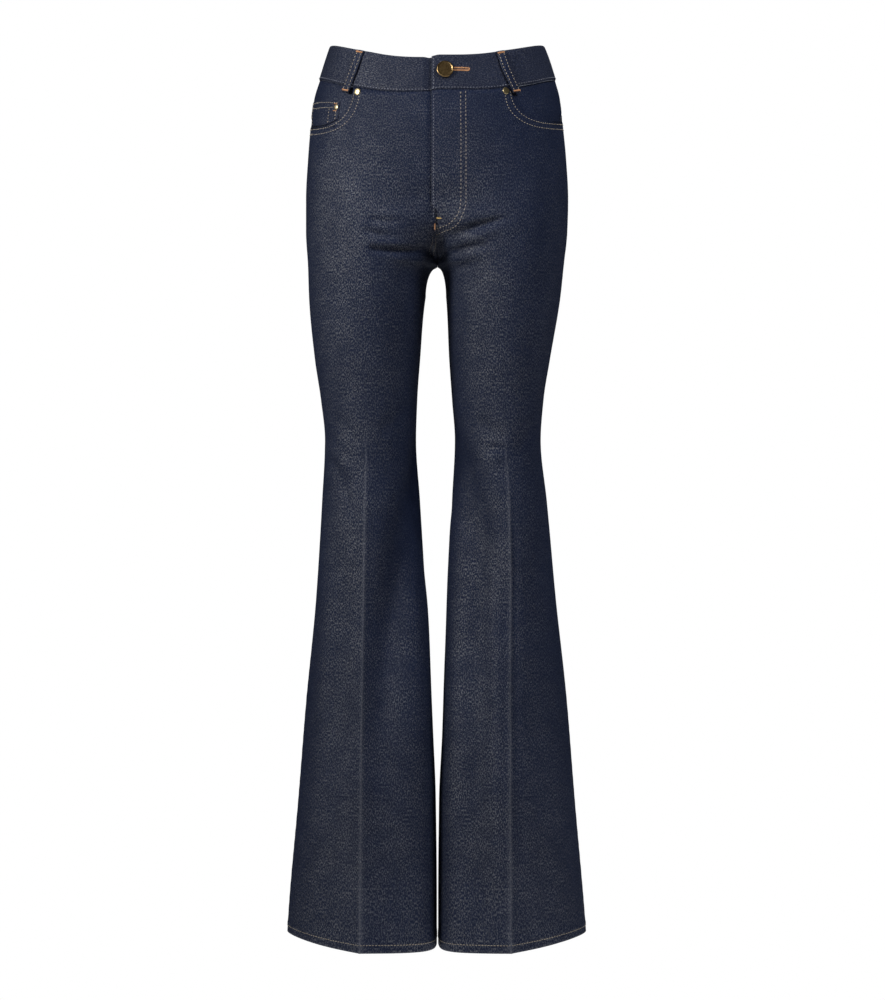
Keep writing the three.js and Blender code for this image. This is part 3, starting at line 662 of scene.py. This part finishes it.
def pocket_facing(half, looks):
    down, wide, hidden = 80, 62, 9
    rows, share = edged(down)[:, None], edged(wide)[None, :]
    edge_u, edge_z = pocket_edge(half, rows * 0.93, hidden)
    side_z = mix(BAND_SEAM - SEAM, pocket_edge(half, 1.0, hidden)[1], rows)
    u = mix(edge_u, 1.0, share)
    z = mix(edge_z, side_z, share)
    face = facing_height(half, u, z)
    drop = np.maximum(rounding(rows, down), rounding(share, wide))
    name, grain = HALVES[half]["name"], grain_of(half, u, z, 1.0)
    made = sewn(f"pocket_facing_{name}", half, u, z, face - drop, face + drop - DENIM, grain, 0.0, looks)
    declare(*made, (0.085, 0.085), "stretched", [f"cloth_front_{name}"])


COIN = dict(inner_u=0.667, outer_u=0.96, inner_top=-46.7, outer_top=-51.5, clear=2.5, height=1.1)


def coin_spot(a, b):
    """A point of the coin pocket, a from its top to the mouth's edge, b outwards."""
    u = mix(COIN["inner_u"], COIN["outer_u"], b)
    start = mouth_start(RIGHT, -COIN["clear"])
    foot = mouth_height(RIGHT, (u - start) / (1 - start), -COIN["clear"])
    z = mix(mix(COIN["inner_top"], COIN["outer_top"], b), foot, a)
    return u + 0 * z, z, facing_height(RIGHT, u, z) + 0.3


def coin_pocket(looks):
    down, wide = 30, 36
    rows, share = edged(down, 2.4)[:, None], edged(wide, 2.4)[None, :]
    u, z, bottom = coin_spot(rows, share)
    drop = np.maximum(rounding(rows, down, 0.5), rounding(share, wide, 0.5))
    wear = 0.6 * np.exp(-rows * down / 0.9)
    grain = grain_of(RIGHT, u, z, 1.0)
    made = sewn("coin_pocket", RIGHT, u, z, bottom + COIN["height"] - drop, bottom, grain, wear, looks)
    declare(*made, (0.045, 0.045), "stretched", ["cloth_pocket_facing_right"])


PATCH = dict(width=138, foot=120, height=142, point=18, top=-104, from_centre=104)


def patch_spot(half, a, b, inset=0.0):
    """A point of the patch pocket, a from its top to its foot, b across it."""
    middle = walk(half, 2, PATCH["top"] - PATCH["height"] / 2, -PATCH["from_centre"])
    across = b * 2 - 1
    width = mix(PATCH["width"], PATCH["foot"], a) - 2 * inset
    z = PATCH["top"] - a * (PATCH["height"] - PATCH["point"] * np.abs(across) - inset)
    return walk(half, middle, z, across * width / 2), z


def patch_sag(down, share):
    """How far the pocket's mouth stands open, some way down from its top."""
    return 0.9 * np.exp(-((down / 14) ** 2)) * np.sin(np.pi * share) ** 2


def patch_pocket(half, looks):
    down, wide = 140, 130
    rows, share = edged(down)[:, None], edged(wide, middle=True)[None, :]
    u, z = patch_spot(half, rows, share)
    drop = np.maximum(rounding(rows, down), rounding(share, wide))
    sag = patch_sag(rows * down, share)
    under = LAYER * 0.4 + sag
    name = HALVES[half]["name"]
    wear = 0.7 * np.exp(-rows * down / 0.9) + 0.4 * np.exp(-np.minimum(share, 1 - share) * wide / 0.7)
    grain = grain_of(half, u, z, 1.5)
    made = sewn(f"back_pocket_{name}", half, u, z, under + DENIM - drop, under, grain, wear, looks)
    declare(*made, (0.142, 0.146), "stretched", [f"cloth_back_{name}"])


def band_run(along):
    """Half and u of a place along the band, from the centre front round by the left side."""
    half = np.where((along <= 2) & (along >= 0) | (along > 4), LEFT, RIGHT)
    u = np.where(along < 0, -along, np.where(along <= 2, along, np.where(along <= 4, 4 - along, along - 4)))
    return half, u


def band_height(along):
    """Height of the band's face over the cloth: its hidden end lies under the other."""
    half, u = band_run(along)
    out = np.abs(body_point(half, u, 0.0)[..., 0])
    near = np.where(along > 4, 1.0, np.where(along > 3, smooth((OVERLAP + 10 - out) / 8.5), 0.0))
    return BAND_PROUD - (BAND + LAYER) * near


def waistband(looks):
    long = 860
    start = -float(across_at(RIGHT, OVERLAP, 0.0))
    end = 4 + float(across_at(LEFT, UNDERLAP, 0.0))
    share = edged(long, 3.0)
    along = mix(start, end, share)[None, :]
    heights = np.concatenate([[0, 0.35, 1.2], np.arange(3.5, 39, 2.6), [40.8, 41.65, 42]])[:, None]
    z = (WAIST_TOP - heights) * np.ones_like(along)
    half, u = band_run(along)
    ends = np.maximum(rounding(heights / BAND_HEIGHT, BAND_HEIGHT, 1.3), rounding(share, long, 1.0))
    soft = 0.16 * np.sin(share * 1700) * np.exp(-((heights - 39.5) / 2.5) ** 2)
    face = band_height(along) + soft
    grain = np.stack([-z, share * long + 0 * z], -1)
    wear = 0.6 * np.exp(-heights / 0.9) + 0.3 * np.exp(-share * long / 0.9)
    piece, points = sewn("waistband", half, u + 0 * z, z, face - ends, face - BAND + ends, grain, wear, looks)
    max(area_of(points), 0.3 * 0.086 * 0.8)


LOOP = dict(width=10.5, thick=1.9, stand=1.9, top=18.0, foot=-33.2)
LOOPS = {
    "front_right": (RIGHT, 92.2, 111), "front_left": (LEFT, 75, 95.8),
    "side_right": (RIGHT, None, None), "side_left": (LEFT, None, None), "back": (LEFT, None, None),
}


def loop_line(name, a):
    """Half, u and z along the middle of a belt loop, a from its top to its foot."""
    half, top_x, foot_x = LOOPS[name]
    z = mix(LOOP["top"], LOOP["foot"], a)
    if top_x:
        ends = across_at(half, top_x, LOOP["top"]), across_at(half, foot_x, LOOP["foot"])
    else:
        ends = (2.0, 2.0) if name == "back" else (1.28, 1.27)
    return half, mix(ends[0], ends[1], a), z


def loop_height(a):
    return BAND_PROUD + 0.25 + LOOP["stand"] * np.sin(np.pi * np.clip(a, 0, 1)) ** 0.6


def belt_loop(name, looks):
    down, wide = 48, LOOP["width"]
    rows, share = edged(down, 2.0)[:, None], edged(wide, 1.6)[None, :]
    half, middle, z = loop_line(name, rows)
    u = walk(half, middle, z, (share - 0.5) * wide)
    drop = np.maximum(rounding(rows, down, 0.8), rounding(share, wide, 0.8))
    ridge = 0.25 * np.cos((share - 0.5) * 2 * np.pi)
    bottom = loop_height(rows)
    top = bottom + LOOP["thick"] - drop + ridge
    wear = 0.5 * np.exp(-np.minimum(share, 1 - share) * wide / 0.6)
    grain = np.stack([(share - 0.5) * wide + 0 * z, -z + 0 * u], -1)
    piece = sewn(f"belt_loop_{name}", half, u, z, top, bottom, grain, wear, looks)[0]


# Stitches

COIN_RIVET_U = 0.684
COIN_RIVET_Z = -55.3
STITCH_SIDES = 6
STITCH_RINGS = [(-0.5, 0.3, -0.9), (-0.36, 0.95, 0.0), (0, 1.0, 0.45), (0.36, 0.95, 0.0), (0.5, 0.3, -0.9)]


class Thread:
    """Collects stitches of one thread and makes them one joined mesh."""

    def __init__(self):
        self.middles, self.ways, self.ups, self.lengths, self.radii = [], [], [], [], []

    def add(self, middles, ways, ups, lengths, radii):
        count = len(middles)
        self.middles.append(middles)
        self.ways.append(ways)
        self.ups.append(ups)
        self.lengths.append(np.broadcast_to(lengths, count))
        self.radii.append(np.broadcast_to(radii, count))

    def sew(self, half, u, z, height=0.0, pitch=STITCH_PITCH, radius=THREAD, fill=0.56):
        """A row of stitches along a line on the cloth."""
        points, normals = cloth_point(half, u, z, height)
        steps = np.linalg.norm(np.diff(points, axis=0), axis=1)
        run = np.concatenate([[0], np.cumsum(steps)])
        count = int(run[-1] / pitch)
        if count < 1:
            return
        at = (np.arange(count) + 0.5) * run[-1] / count
        read = lambda s, v: np.stack([np.interp(s, run, v[:, k]) for k in range(3)], -1)
        start, end = read(at - pitch * fill / 2, points), read(at + pitch * fill / 2, points)
        way = end - start
        length = np.linalg.norm(way, axis=1)
        self.add((start + end) / 2, way / length[:, None], read(at, normals), length, radius)

    def bar(self, centre, along, up, width, height, count, radius=0.42):
        """A bar tack: close short stitches side by side. Along is the tack's long direction."""
        across = np.cross(up, along)
        across /= np.linalg.norm(across)
        places = (np.arange(count) + 0.5) / count - 0.5
        middles = centre + places[:, None] * width * along
        lean = across + 0.16 * along * np.where(np.arange(count) % 2, 1, -1)[:, None]
        self.add(middles, lean / np.linalg.norm(lean, axis=1)[:, None],
                 np.tile(up, (count, 1)), height, radius)

    def make(self, name, material, slot):
        middles, ways, ups = (np.concatenate(v) for v in (self.middles, self.ways, self.ups))
        lengths, radii = np.concatenate(self.lengths), np.concatenate(self.radii)
        ups = ups - ways * (ups * ways).sum(1)[:, None]
        ups /= np.linalg.norm(ups, axis=1)[:, None]
        across = np.cross(ways, ups)
        turns = np.arange(STITCH_SIDES) * 2 * np.pi / STITCH_SIDES
        rings = []
        for along, wide, rise in STITCH_RINGS:
            centre = middles + ways * (along * lengths)[:, None] + ups * (rise * radii)[:, None]
            for turn in turns:
                spoke = across * math.cos(turn) + ups * math.sin(turn)
                rings.append(centre + spoke * (wide * radii)[:, None])
        points = np.stack(rings, 1).reshape(-1, 3)
        s, n = STITCH_SIDES, len(STITCH_RINGS)
        one = [(r * s + k, r * s + (k + 1) % s, (r + 1) * s + (k + 1) % s, (r + 1) * s + k)
               for r in range(n - 1) for k in range(s)]
        one = np.array(one)[:, ::-1]
        base = np.arange(len(middles)) * s * n
        quads = (one[None] + base[:, None, None]).reshape(-1, 4).tolist()
        caps = [(b + np.arange(s)).tolist() for b in base]
        caps += [(b + (n - 1) * s + np.arange(s))[::-1].tolist() for b in base]
        turn = np.random.default_rng(7).uniform(0, 1, len(middles)).repeat(s * n)
        piece = new_mesh(name, points, quads + caps, [material], attributes={"wear": turn})
        return piece


def front_line(points):
    """A smooth line on the front through points given as (x, z) in the front view."""
    points = np.array(points, float)
    steps = np.linalg.norm(np.diff(points, axis=0), axis=1)
    run = np.concatenate([[0], np.cumsum(steps)])
    dense = np.arange(0, run[-1], 1.5)
    return locate(np.interp(dense, run, points[:, 0]), np.interp(dense, run, points[:, 1]))


FLY_ROWS = {
    "outer": [(34, -49), (34.5, -110), (34.5, -179), (34.2, -188), (32.1, -195), (27.9, -206),
              (22.4, -212.7), (15.2, -217), (8, -219), (-4, -222)],
    "inner": [(28, -50), (28.4, -110), (28.4, -176), (28.2, -184), (26.9, -193), (24.4, -199.6),
              (21, -204.4), (15.2, -209.3), (9.9, -212.2), (-3, -215.5)],
}


def sew_pocket_mouths(tan):
    for half in HALVES:
        for row in STITCH_ROWS:
            u, z = pocket_edge(half, np.linspace(0.02, 0.995, 90), row)
            tan.sew(half, np.minimum(u, 0.995), z)


def sew_coin_pocket(tan):
    height = COIN["height"] + 0.05
    along = np.linspace(0.03, 0.97, 30)
    for row in STITCH_ROWS:
        u, z, under = coin_spot(row / 30, along)
        tan.sew(RIGHT, u, z, under + height)
        u, z, under = coin_spot(np.linspace(0.3, 0.97, 30), row / 36)
        tan.sew(RIGHT, u, z, under + height)
    u, z, under = coin_spot(np.linspace(0.04, 0.97, 30), 1 - STITCH_ROWS[0] / 36)
    tan.sew(RIGHT, u, z, under + height)


def sew_fly(tan, tonal):
    for points in FLY_ROWS.values():
        tan.sew(*front_line(points), pitch=4.7)
    heights = np.linspace(-55, -203, 60)
    tonal.sew(*locate(np.full(60, -OVERLAP + 2.4), heights))
    for x in (-1.6, -5.4):
        tan.sew(*front_line([(x - 0.3, -224), (x - 0.3, -246)]), radius=0.28)


def sew_band(tonal):
    along = np.linspace(-0.04, 3.985, 700)
    half, u = band_run(along)
    tonal.sew(half, u, np.full(700, BAND_SEAM + 2.4), band_height(along) + 0.02)
    z = np.linspace(WAIST_TOP - 2.4, BAND_SEAM + 2.2, 20)
    u = np.full(20, float(across_at(RIGHT, OVERLAP - 2.4, 0.0)))
    tonal.sew(RIGHT, u, z, BAND_PROUD + 0.02)


def sew_loops(tan, copper):
    for name in LOOPS:
        rows = np.linspace(0.06, 0.94, 40)
        half, middle, z = loop_line(name, rows)
        for side in (-1, 1):
            u = walk(half, middle, z, side * (LOOP["width"] / 2 - 2.0))
            tan.sew(half, u, z, loop_height(rows) + LOOP["thick"] + 0.02, pitch=4.1)
        for a in (0.05, 0.95):
            half, middle, z = loop_line(name, np.array([a]))
            height = loop_height(np.array([a])) + LOOP["thick"] + 0.1
            centre, up = cloth_point(half, middle, z, height)
            beside = cloth_point(half, walk(half, middle, z, 2.0), z, height)[0]
            along = (beside - centre)[0]
            along /= np.linalg.norm(along)
            copper.bar(centre[0], along, up[0], LOOP["width"] - 1.0, 2.3, 15)


def sew_tacks(copper, yellow):
    points, ups = cloth_point(*locate([3.4, -3.0], [-203.2, -210.0]), 0.15)
    yellow.bar(points[0], np.array([1.0, 0, 0]), ups[0], 8.5, 2.0, 12)
    copper.bar(points[1], np.array([0, 0, 1.0]), ups[1], 13, 1.9, 18)
    height = -(DENIM + BEHIND) + 0.3 + COIN["height"] + 0.1
    for lift in (-5.2, 5.2):
        point, up = cloth_point(RIGHT, COIN_RIVET_U, COIN_RIVET_Z + lift, height)
        copper.bar(point, np.array([1.0, 0, 0]), up, 7, 1.7, 10, 0.36)


def sew_back(tan):
    face = LAYER * 0.4 + DENIM + 0.02
    for half in HALVES:
        for row in STITCH_ROWS:
            u = np.linspace(1.006, 1.994, 90)
            tan.sew(half, u, yoke_seam(u) - row)
        for inset in (STITCH_ROWS[0], STITCH_ROWS[1] - 0.2):
            down = np.linspace(0.015, 1 - inset / PATCH["height"], 50)
            for b in (0.0, 1.0):
                tan.sew(half, *patch_spot(half, down, np.full(50, b), inset), face)
            tan.sew(half, *patch_spot(half, np.ones(60), np.linspace(0, 1, 60), inset), face)
        for drop in (3.0, 12.0):
            share = np.linspace(0.02, 0.98, 60)
            u, z = patch_spot(half, np.full(60, drop / PATCH["height"]), share)
            tan.sew(half, u, z, face + patch_sag(drop, share))
    for row in STITCH_ROWS:
        z = np.linspace(BAND_SEAM - 3, -236, 90)
        tan.sew(LEFT, walk(LEFT, np.full(90, 2.0), z, -row), z)


def sew_hems(tan):
    for half in HALVES:
        u = np.linspace(0.004, 1.996, 400)
        tan.sew(half, u, np.full(400, HEM + 8.3), radius=0.36, fill=0.82)


def buttonhole(copper, spot_x=(19.8, 37.0), height=-23.4):
    """Close stitches round a slit, with a fan at its outer end."""
    face = BAND_PROUD + 0.1
    xs = np.linspace(*spot_x, 22)
    for side in (-1, 1):
        points, ups = cloth_point(*locate(xs, np.full(22, height + side * 1.5)), face)
        for point, up in zip(points, ups):
            way = np.cross(up, np.array([1.0, 0, 0]))
            way = way / np.linalg.norm(way) + np.array([0.12 * side, 0, 0])
            copper.add(point[None], way[None] / np.linalg.norm(way), up[None], 2.3, 0.42)
    for turn in np.linspace(-75, 75, 7):
        lean = math.radians(turn)
        x, z = spot_x[1] + 1.2 * math.cos(lean), height + 1.5 * math.sin(lean)
        point, up = cloth_point(*locate([x], [z]), face)
        way = np.array([math.cos(lean), 0, math.sin(lean)])
        copper.add(point, way[None], up, 2.2, 0.42)


# Metal

BUTTON_X = 9.2
BUTTON_Z = -0.4


def turned(name, profile, segments, centre, up, material):
    """A solid turned about the direction up from [radius, height] pairs."""
    up = np.array(up) / np.linalg.norm(up)
    side = np.cross(up, [0, 0, 1.0])
    side /= np.linalg.norm(side)
    over = np.cross(side, up)
    turns = np.arange(segments) * 2 * np.pi / segments
    points = [centre + up * profile[0][1]]
    for radius, height in profile[1:-1]:
        for turn in turns:
            points.append(centre + up * height + (side * math.cos(turn) + over * math.sin(turn)) * radius)
    points.append(centre + up * profile[-1][1])
    rings = len(profile) - 2
    faces = [(0, 1 + (k + 1) % segments, 1 + k) for k in range(segments)]
    for ring in range(rings - 1):
        a, b = 1 + ring * segments, 1 + (ring + 1) * segments
        faces += [(a + k, a + (k + 1) % segments, b + (k + 1) % segments, b + k) for k in range(segments)]
    last, base = len(points) - 1, 1 + (rings - 1) * segments
    faces += [(last, base + k, base + (k + 1) % segments) for k in range(segments)]
    piece = new_mesh(name, np.array(points), faces, [material])
    return piece


BUTTON_PROFILE = [
    (0, 0), (3.6, 0), (3.4, 1.4), (3.8, 1.7), (9.2, 1.75), (10.0, 2.0), (10.35, 2.5), (10.3, 3.2),
    (9.9, 3.75), (9.3, 3.95), (8.7, 3.8), (8.3, 3.5), (7.8, 3.42), (5.5, 3.5), (2.5, 3.55), (0, 3.56),
]
RIVET_PROFILE = [(0, 0), (4.4, 0), (4.5, 0.3), (4.2, 0.75), (3.2, 1.15), (1.6, 1.32), (1.0, 1.34), (0, 1.3)]
COIN_RIVET_PROFILE = [(0, 0), (3.3, 0), (3.35, 0.25), (3.0, 0.7), (2.2, 1.0), (1.0, 1.12), (0, 1.12)]


def metal(material, rivet_material):
    centre, up = cloth_point(LEFT, across_at(LEFT, BUTTON_X, BUTTON_Z), BUTTON_Z, BAND_PROUD + 0.2)
    piece = turned("button_cap", BUTTON_PROFILE, 64, centre, up, material)
    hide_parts("button")
    for half, size in HALVES.items():
        x, z = size["rivet"]
        centre, up = cloth_point(half, across_at(half, x, z), z, 0.2)
        piece = turned(f"rivet_cap_{size['name']}", RIVET_PROFILE, 40, centre, up, rivet_material)
        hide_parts(f"rivet_{size['name']}")
    height = 0.3 - DENIM - BEHIND + COIN["height"] + 0.2
    centre, up = cloth_point(RIGHT, COIN_RIVET_U, COIN_RIVET_Z, height)
    piece = turned("rivet_cap_coin", COIN_RIVET_PROFILE, 32, centre, up, rivet_material)
    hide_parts("coin_rivet")


# Materials

class Nodes:
    """Short calls for a material's nodes."""

    def __init__(self, name):
        self.material = bpy.data.materials.new(name)
        self.material.use_nodes = True
        self.tree = self.material.node_tree
        self.shader = self.tree.nodes["Principled BSDF"]

    def add(self, kind, **values):
        node = self.tree.nodes.new(kind)
        for key, value in values.items():
            setattr(node, key, value)
        return node

    def put(self, socket, value):
        if isinstance(value, bpy.types.NodeSocket):
            self.tree.links.new(value, socket)
        else:
            socket.default_value = value

    def maths(self, operation, a, b=0.0, c=0.0):
        node = self.add("ShaderNodeMath", operation=operation)
        for socket, value in zip(node.inputs, (a, b, c)):
            self.put(socket, value)
        return node.outputs[0]

    def noise(self, vector, scale, detail=2.0, roughness=0.5):
        node = self.add("ShaderNodeTexNoise")
        self.put(node.inputs["Vector"], vector)
        node.inputs["Scale"].default_value = scale
        node.inputs["Detail"].default_value = detail
        node.inputs["Roughness"].default_value = roughness
        return node.outputs["Fac"]

    def stretch(self, vector, scale):
        node = self.add("ShaderNodeMapping")
        self.put(node.inputs["Vector"], vector)
        node.inputs["Scale"].default_value = scale
        return node.outputs[0]

    def band(self, value, low, high, to_low=0.0, to_high=1.0):
        node = self.add("ShaderNodeMapRange", interpolation_type="SMOOTHSTEP")
        for socket, number in zip(node.inputs, (value, low, high, to_low, to_high)):
            self.put(socket, number)
        return node.outputs[0]

    def mixed(self, factor, a, b):
        node = self.add("ShaderNodeMix", data_type="RGBA")
        self.put(node.inputs["Factor"], factor)
        self.put(node.inputs[6], a)
        self.put(node.inputs[7], b)
        return node.outputs[2]

    def bump(self, height, distance, strength=1.0):
        node = self.add("ShaderNodeBump")
        self.put(node.inputs["Height"], height)
        node.inputs["Distance"].default_value = distance
        node.inputs["Strength"].default_value = strength
        self.put(self.shader.inputs["Normal"], node.outputs[0])

    def attribute(self, name):
        return self.add("ShaderNodeAttribute", attribute_name=name).outputs["Fac"]


def denim(name, dark, light, speck, worn, speckle=1.0):
    """Twill: dark warp, light weft that shows as diagonal lines and specks, and a slubby warp. The specks
    follow the painted-sheen mask, so they paint highlight on the fronts and backs of the legs and painted
    shade at the sides.
    """
    n = Nodes(name)
    uv = n.add("ShaderNodeUVMap", uv_map="cloth").outputs[0]
    parts = n.add("ShaderNodeSeparateXYZ")
    n.put(parts.inputs[0], uv)
    diagonal = n.maths("ADD", parts.outputs[0], n.maths("MULTIPLY", parts.outputs[1], 0.9))
    twill = n.maths("SINE", n.maths("MULTIPLY", diagonal, 2 * math.pi / 0.00095))
    twill = n.maths("MULTIPLY_ADD", twill, 0.5, 0.5)
    slub = n.noise(n.stretch(uv, (560, 60, 1)), 1.0, 3.0, 0.6)
    cross = n.noise(n.stretch(uv, (40, 500, 1)), 1.0, 2.0, 0.6)
    specks = n.noise(n.stretch(uv, (860, 380, 1)), 1.0, 1.2, 0.8)
    cloud = n.noise(uv, 34, 3.0, 0.6)
    broad = n.noise(uv, 9, 2.0, 0.5)
    colour = n.mixed(n.band(slub, 0.3, 0.75), dark, light)
    colour = n.mixed(n.maths("MULTIPLY", twill, 0.2), colour, light)
    specks_and_sheen = n.maths("MULTIPLY", n.band(specks, 0.46, 0.66), n.band(cloud, 0.25, 0.75, 0.45, 1.0))
    # The mask thins the specks towards the sides: painted sheen on the fronts and backs of the legs, painted
    # shade at the sides
    specks_and_sheen = n.maths("MULTIPLY", specks_and_sheen, n.maths("MULTIPLY_ADD", n.attribute("weft_and_sheen_mask"), 0.9, 0.1))
    colour = n.mixed(n.maths("MULTIPLY", specks_and_sheen, speckle), colour, speck)
    colour = n.mixed(n.maths("MULTIPLY", n.attribute("wear"), 0.35), colour, worn)
    tone = n.add("ShaderNodeVectorMath", operation="SCALE")
    n.put(tone.inputs[0], colour)
    n.put(tone.inputs[3], n.band(broad, 0.25, 0.75, 0.92, 1.08))
    n.put(n.shader.inputs["Base Color"], tone.outputs[0])
    n.put(n.shader.inputs["Roughness"], n.band(cross, 0.2, 0.8, 0.52, 0.64))
    height = n.maths("ADD", n.maths("MULTIPLY", specks, 1.0), n.maths("MULTIPLY", slub, 0.8))
    height = n.maths("ADD", height, n.maths("MULTIPLY", twill, 0.1))
    height = n.maths("ADD", height, n.maths("MULTIPLY", cross, 0.1))
    n.bump(height, 0.0007)
    n.put(n.shader.inputs["Specular IOR Level"], n.maths("MULTIPLY_ADD", specks_and_sheen, 1.35, 0.06))
    return n.material


def thread(name, colour, deep):
    n = Nodes(name)
    where = n.add("ShaderNodeTexCoord").outputs["Object"]
    fine = n.noise(where, 2600, 2.0)
    pick = n.mixed(n.band(fine, 0.3, 0.7), deep, colour)
    vary = n.mixed(n.maths("MULTIPLY", n.attribute("wear"), 0.35), pick, deep)
    n.put(n.shader.inputs["Base Color"], vary)
    n.put(n.shader.inputs["Roughness"], n.band(fine, 0.2, 0.8, 0.45, 0.7))
    n.bump(fine, 0.0001, 0.5)
    n.shader.inputs["Sheen Weight"].default_value = 0.2
    n.shader.inputs["Specular IOR Level"].default_value = 0.3
    return n.material


def brass(name, bright, aged, aging):
    n = Nodes(name)
    where = n.add("ShaderNodeTexCoord").outputs["Object"]
    patches = n.noise(where, 420, 4.0, 0.65)
    scratches = n.noise(n.stretch(where, (3000, 3000, 300)), 1.0, 3.0, 0.7)
    tone = n.mixed(n.maths("MULTIPLY", n.band(patches, 0.35, 0.7), aging), bright, aged)
    n.put(n.shader.inputs["Base Color"], tone)
    n.put(n.shader.inputs["Roughness"], n.band(scratches, 0.2, 0.8, 0.28, 0.48))
    n.bump(scratches, 0.00004, 0.5)
    n.shader.inputs["Metallic"].default_value = 1.0
    return n.material


# Stage

def studio():
    scene = bpy.context.scene
    camera = bpy.data.objects.new("camera", bpy.data.cameras.new("camera"))
    camera.location = (0.0062, -3.6, -0.543)
    camera.rotation_euler = (math.pi / 2, 0, 0)
    camera.data.lens = 104.5
    camera.data.sensor_width = 36
    scene.collection.objects.link(camera)
    scene.camera = camera
    world = bpy.data.worlds.new("studio")
    world.use_nodes = True
    sky = world.node_tree
    seen = sky.nodes.new("ShaderNodeLightPath").outputs["Is Camera Ray"]
    strength = sky.nodes.new("ShaderNodeMapRange")
    strength.inputs["To Min"].default_value = 0.05
    strength.inputs["To Max"].default_value = 1.0
    sky.links.new(seen, strength.inputs["Value"])
    sky.links.new(strength.outputs[0], sky.nodes["Background"].inputs["Strength"])
    sky.nodes["Background"].inputs["Color"].default_value = (1, 1, 1, 1)
    scene.world = world
    scene.view_settings.view_transform = "Standard"
    for name, place, aim, size, power, spread in (
        ("key", (-1.9, -1.62, 0.7), (0, 0, -0.16), 0.8, 9.8, 60),
        ("top_left", (-1.3, -1.5, 1.8), (0, 0, -0.3), 1.2, 22, 180),
        ("top_right", (1.5, -1.3, 1.5), (0, 0, -0.2), 1.0, 80, 180),
        ("rear", (0.5, 3.4, 1.2), (0, 0, -0.5), 1.6, 260, 180),
    ):
        light = bpy.data.objects.new(name, bpy.data.lights.new(name, "AREA"))
        light.data.size = size
        light.data.energy = power
        light.data.spread = math.radians(spread)
        light.visible_glossy = name == "key"
        light.location = place
        light.rotation_euler = (Vector(aim) - Vector(place)).to_track_quat("-Z", "Y").to_euler()
        scene.collection.objects.link(light)
    floor_mesh = bpy.data.meshes.new("floor")
    reach, sides = 1.5, 96
    turns = [2 * math.pi * k / sides for k in range(sides)]
    rim = [(reach * math.cos(t), reach * math.sin(t), -1.5) for t in turns]
    floor_mesh.from_pydata(rim, [], [tuple(range(sides))])
    floor = bpy.data.objects.new("floor", floor_mesh)
    scene.collection.objects.link(floor)
    n = Nodes("floor")
    grain = n.noise(n.add("ShaderNodeTexCoord").outputs["Object"], 3.0)
    n.put(n.shader.inputs["Base Color"], n.mixed(grain, (0.93, 0.93, 0.93, 1), (0.97, 0.97, 0.97, 1)))
    n.shader.inputs["Roughness"].default_value = 0.9
    n.shader.inputs["Emission Color"].default_value = (1, 1, 1, 1)
    n.shader.inputs["Emission Strength"].default_value = 0.25
    floor_mesh.materials.append(n.material)


def dress():
    outside = denim("denim", (0.0058, 0.0086, 0.0205, 1), (0.0088, 0.0126, 0.0285, 1),
                    (0.023, 0.027, 0.040, 1), (0.048, 0.052, 0.068, 1))
    band_look = denim("denim_band", (0.0088, 0.0112, 0.0215, 1), (0.0130, 0.0162, 0.0300, 1),
                      (0.034, 0.037, 0.049, 1), (0.040, 0.044, 0.060, 1))
    inside = denim("denim_reverse", (0.045, 0.052, 0.075, 1), (0.10, 0.11, 0.14, 1),
                   (0.20, 0.21, 0.24, 1), (0.19, 0.20, 0.23, 1))
    looks, band_looks = (outside, inside), (band_look, inside)
    for half in HALVES:
        yoke(half, looks)
        front_panel(half, looks)
        back_panel(half, looks)
        pocket_facing(half, looks)
        patch_pocket(half, looks)
    coin_pocket(looks)
    waistband(band_looks)
    for name in LOOPS:
        belt_loop(name, looks)
    tan, tonal, copper, yellow = Thread(), Thread(), Thread(), Thread()
    sew_pocket_mouths(tan)
    sew_coin_pocket(tan)
    sew_fly(tan, tonal)
    sew_band(tonal)
    sew_loops(tan, copper)
    sew_tacks(copper, yellow)
    sew_back(tan)
    sew_hems(tan)
    buttonhole(copper)
    for name, row, colour, deep in (
        ("tan", tan, (0.34, 0.29, 0.22, 1), (0.18, 0.15, 0.11, 1)),
        ("tonal", tonal, (0.15, 0.155, 0.19, 1), (0.07, 0.075, 0.10, 1)),
        ("copper", copper, (0.42, 0.21, 0.095, 1), (0.22, 0.10, 0.04, 1)),
        ("yellow", yellow, (0.45, 0.31, 0.10, 1), (0.27, 0.17, 0.05, 1)),
    ):
        row.make(f"stitches_{name}", thread(f"thread_{name}", colour, deep), "denim")
    metal(brass("brass_aged", (0.40, 0.27, 0.12, 1), (0.16, 0.10, 0.045, 1), 0.8),
          brass("brass_pale", (0.75, 0.62, 0.35, 1), (0.38, 0.28, 0.13, 1), 0.6))


studio()
dress()
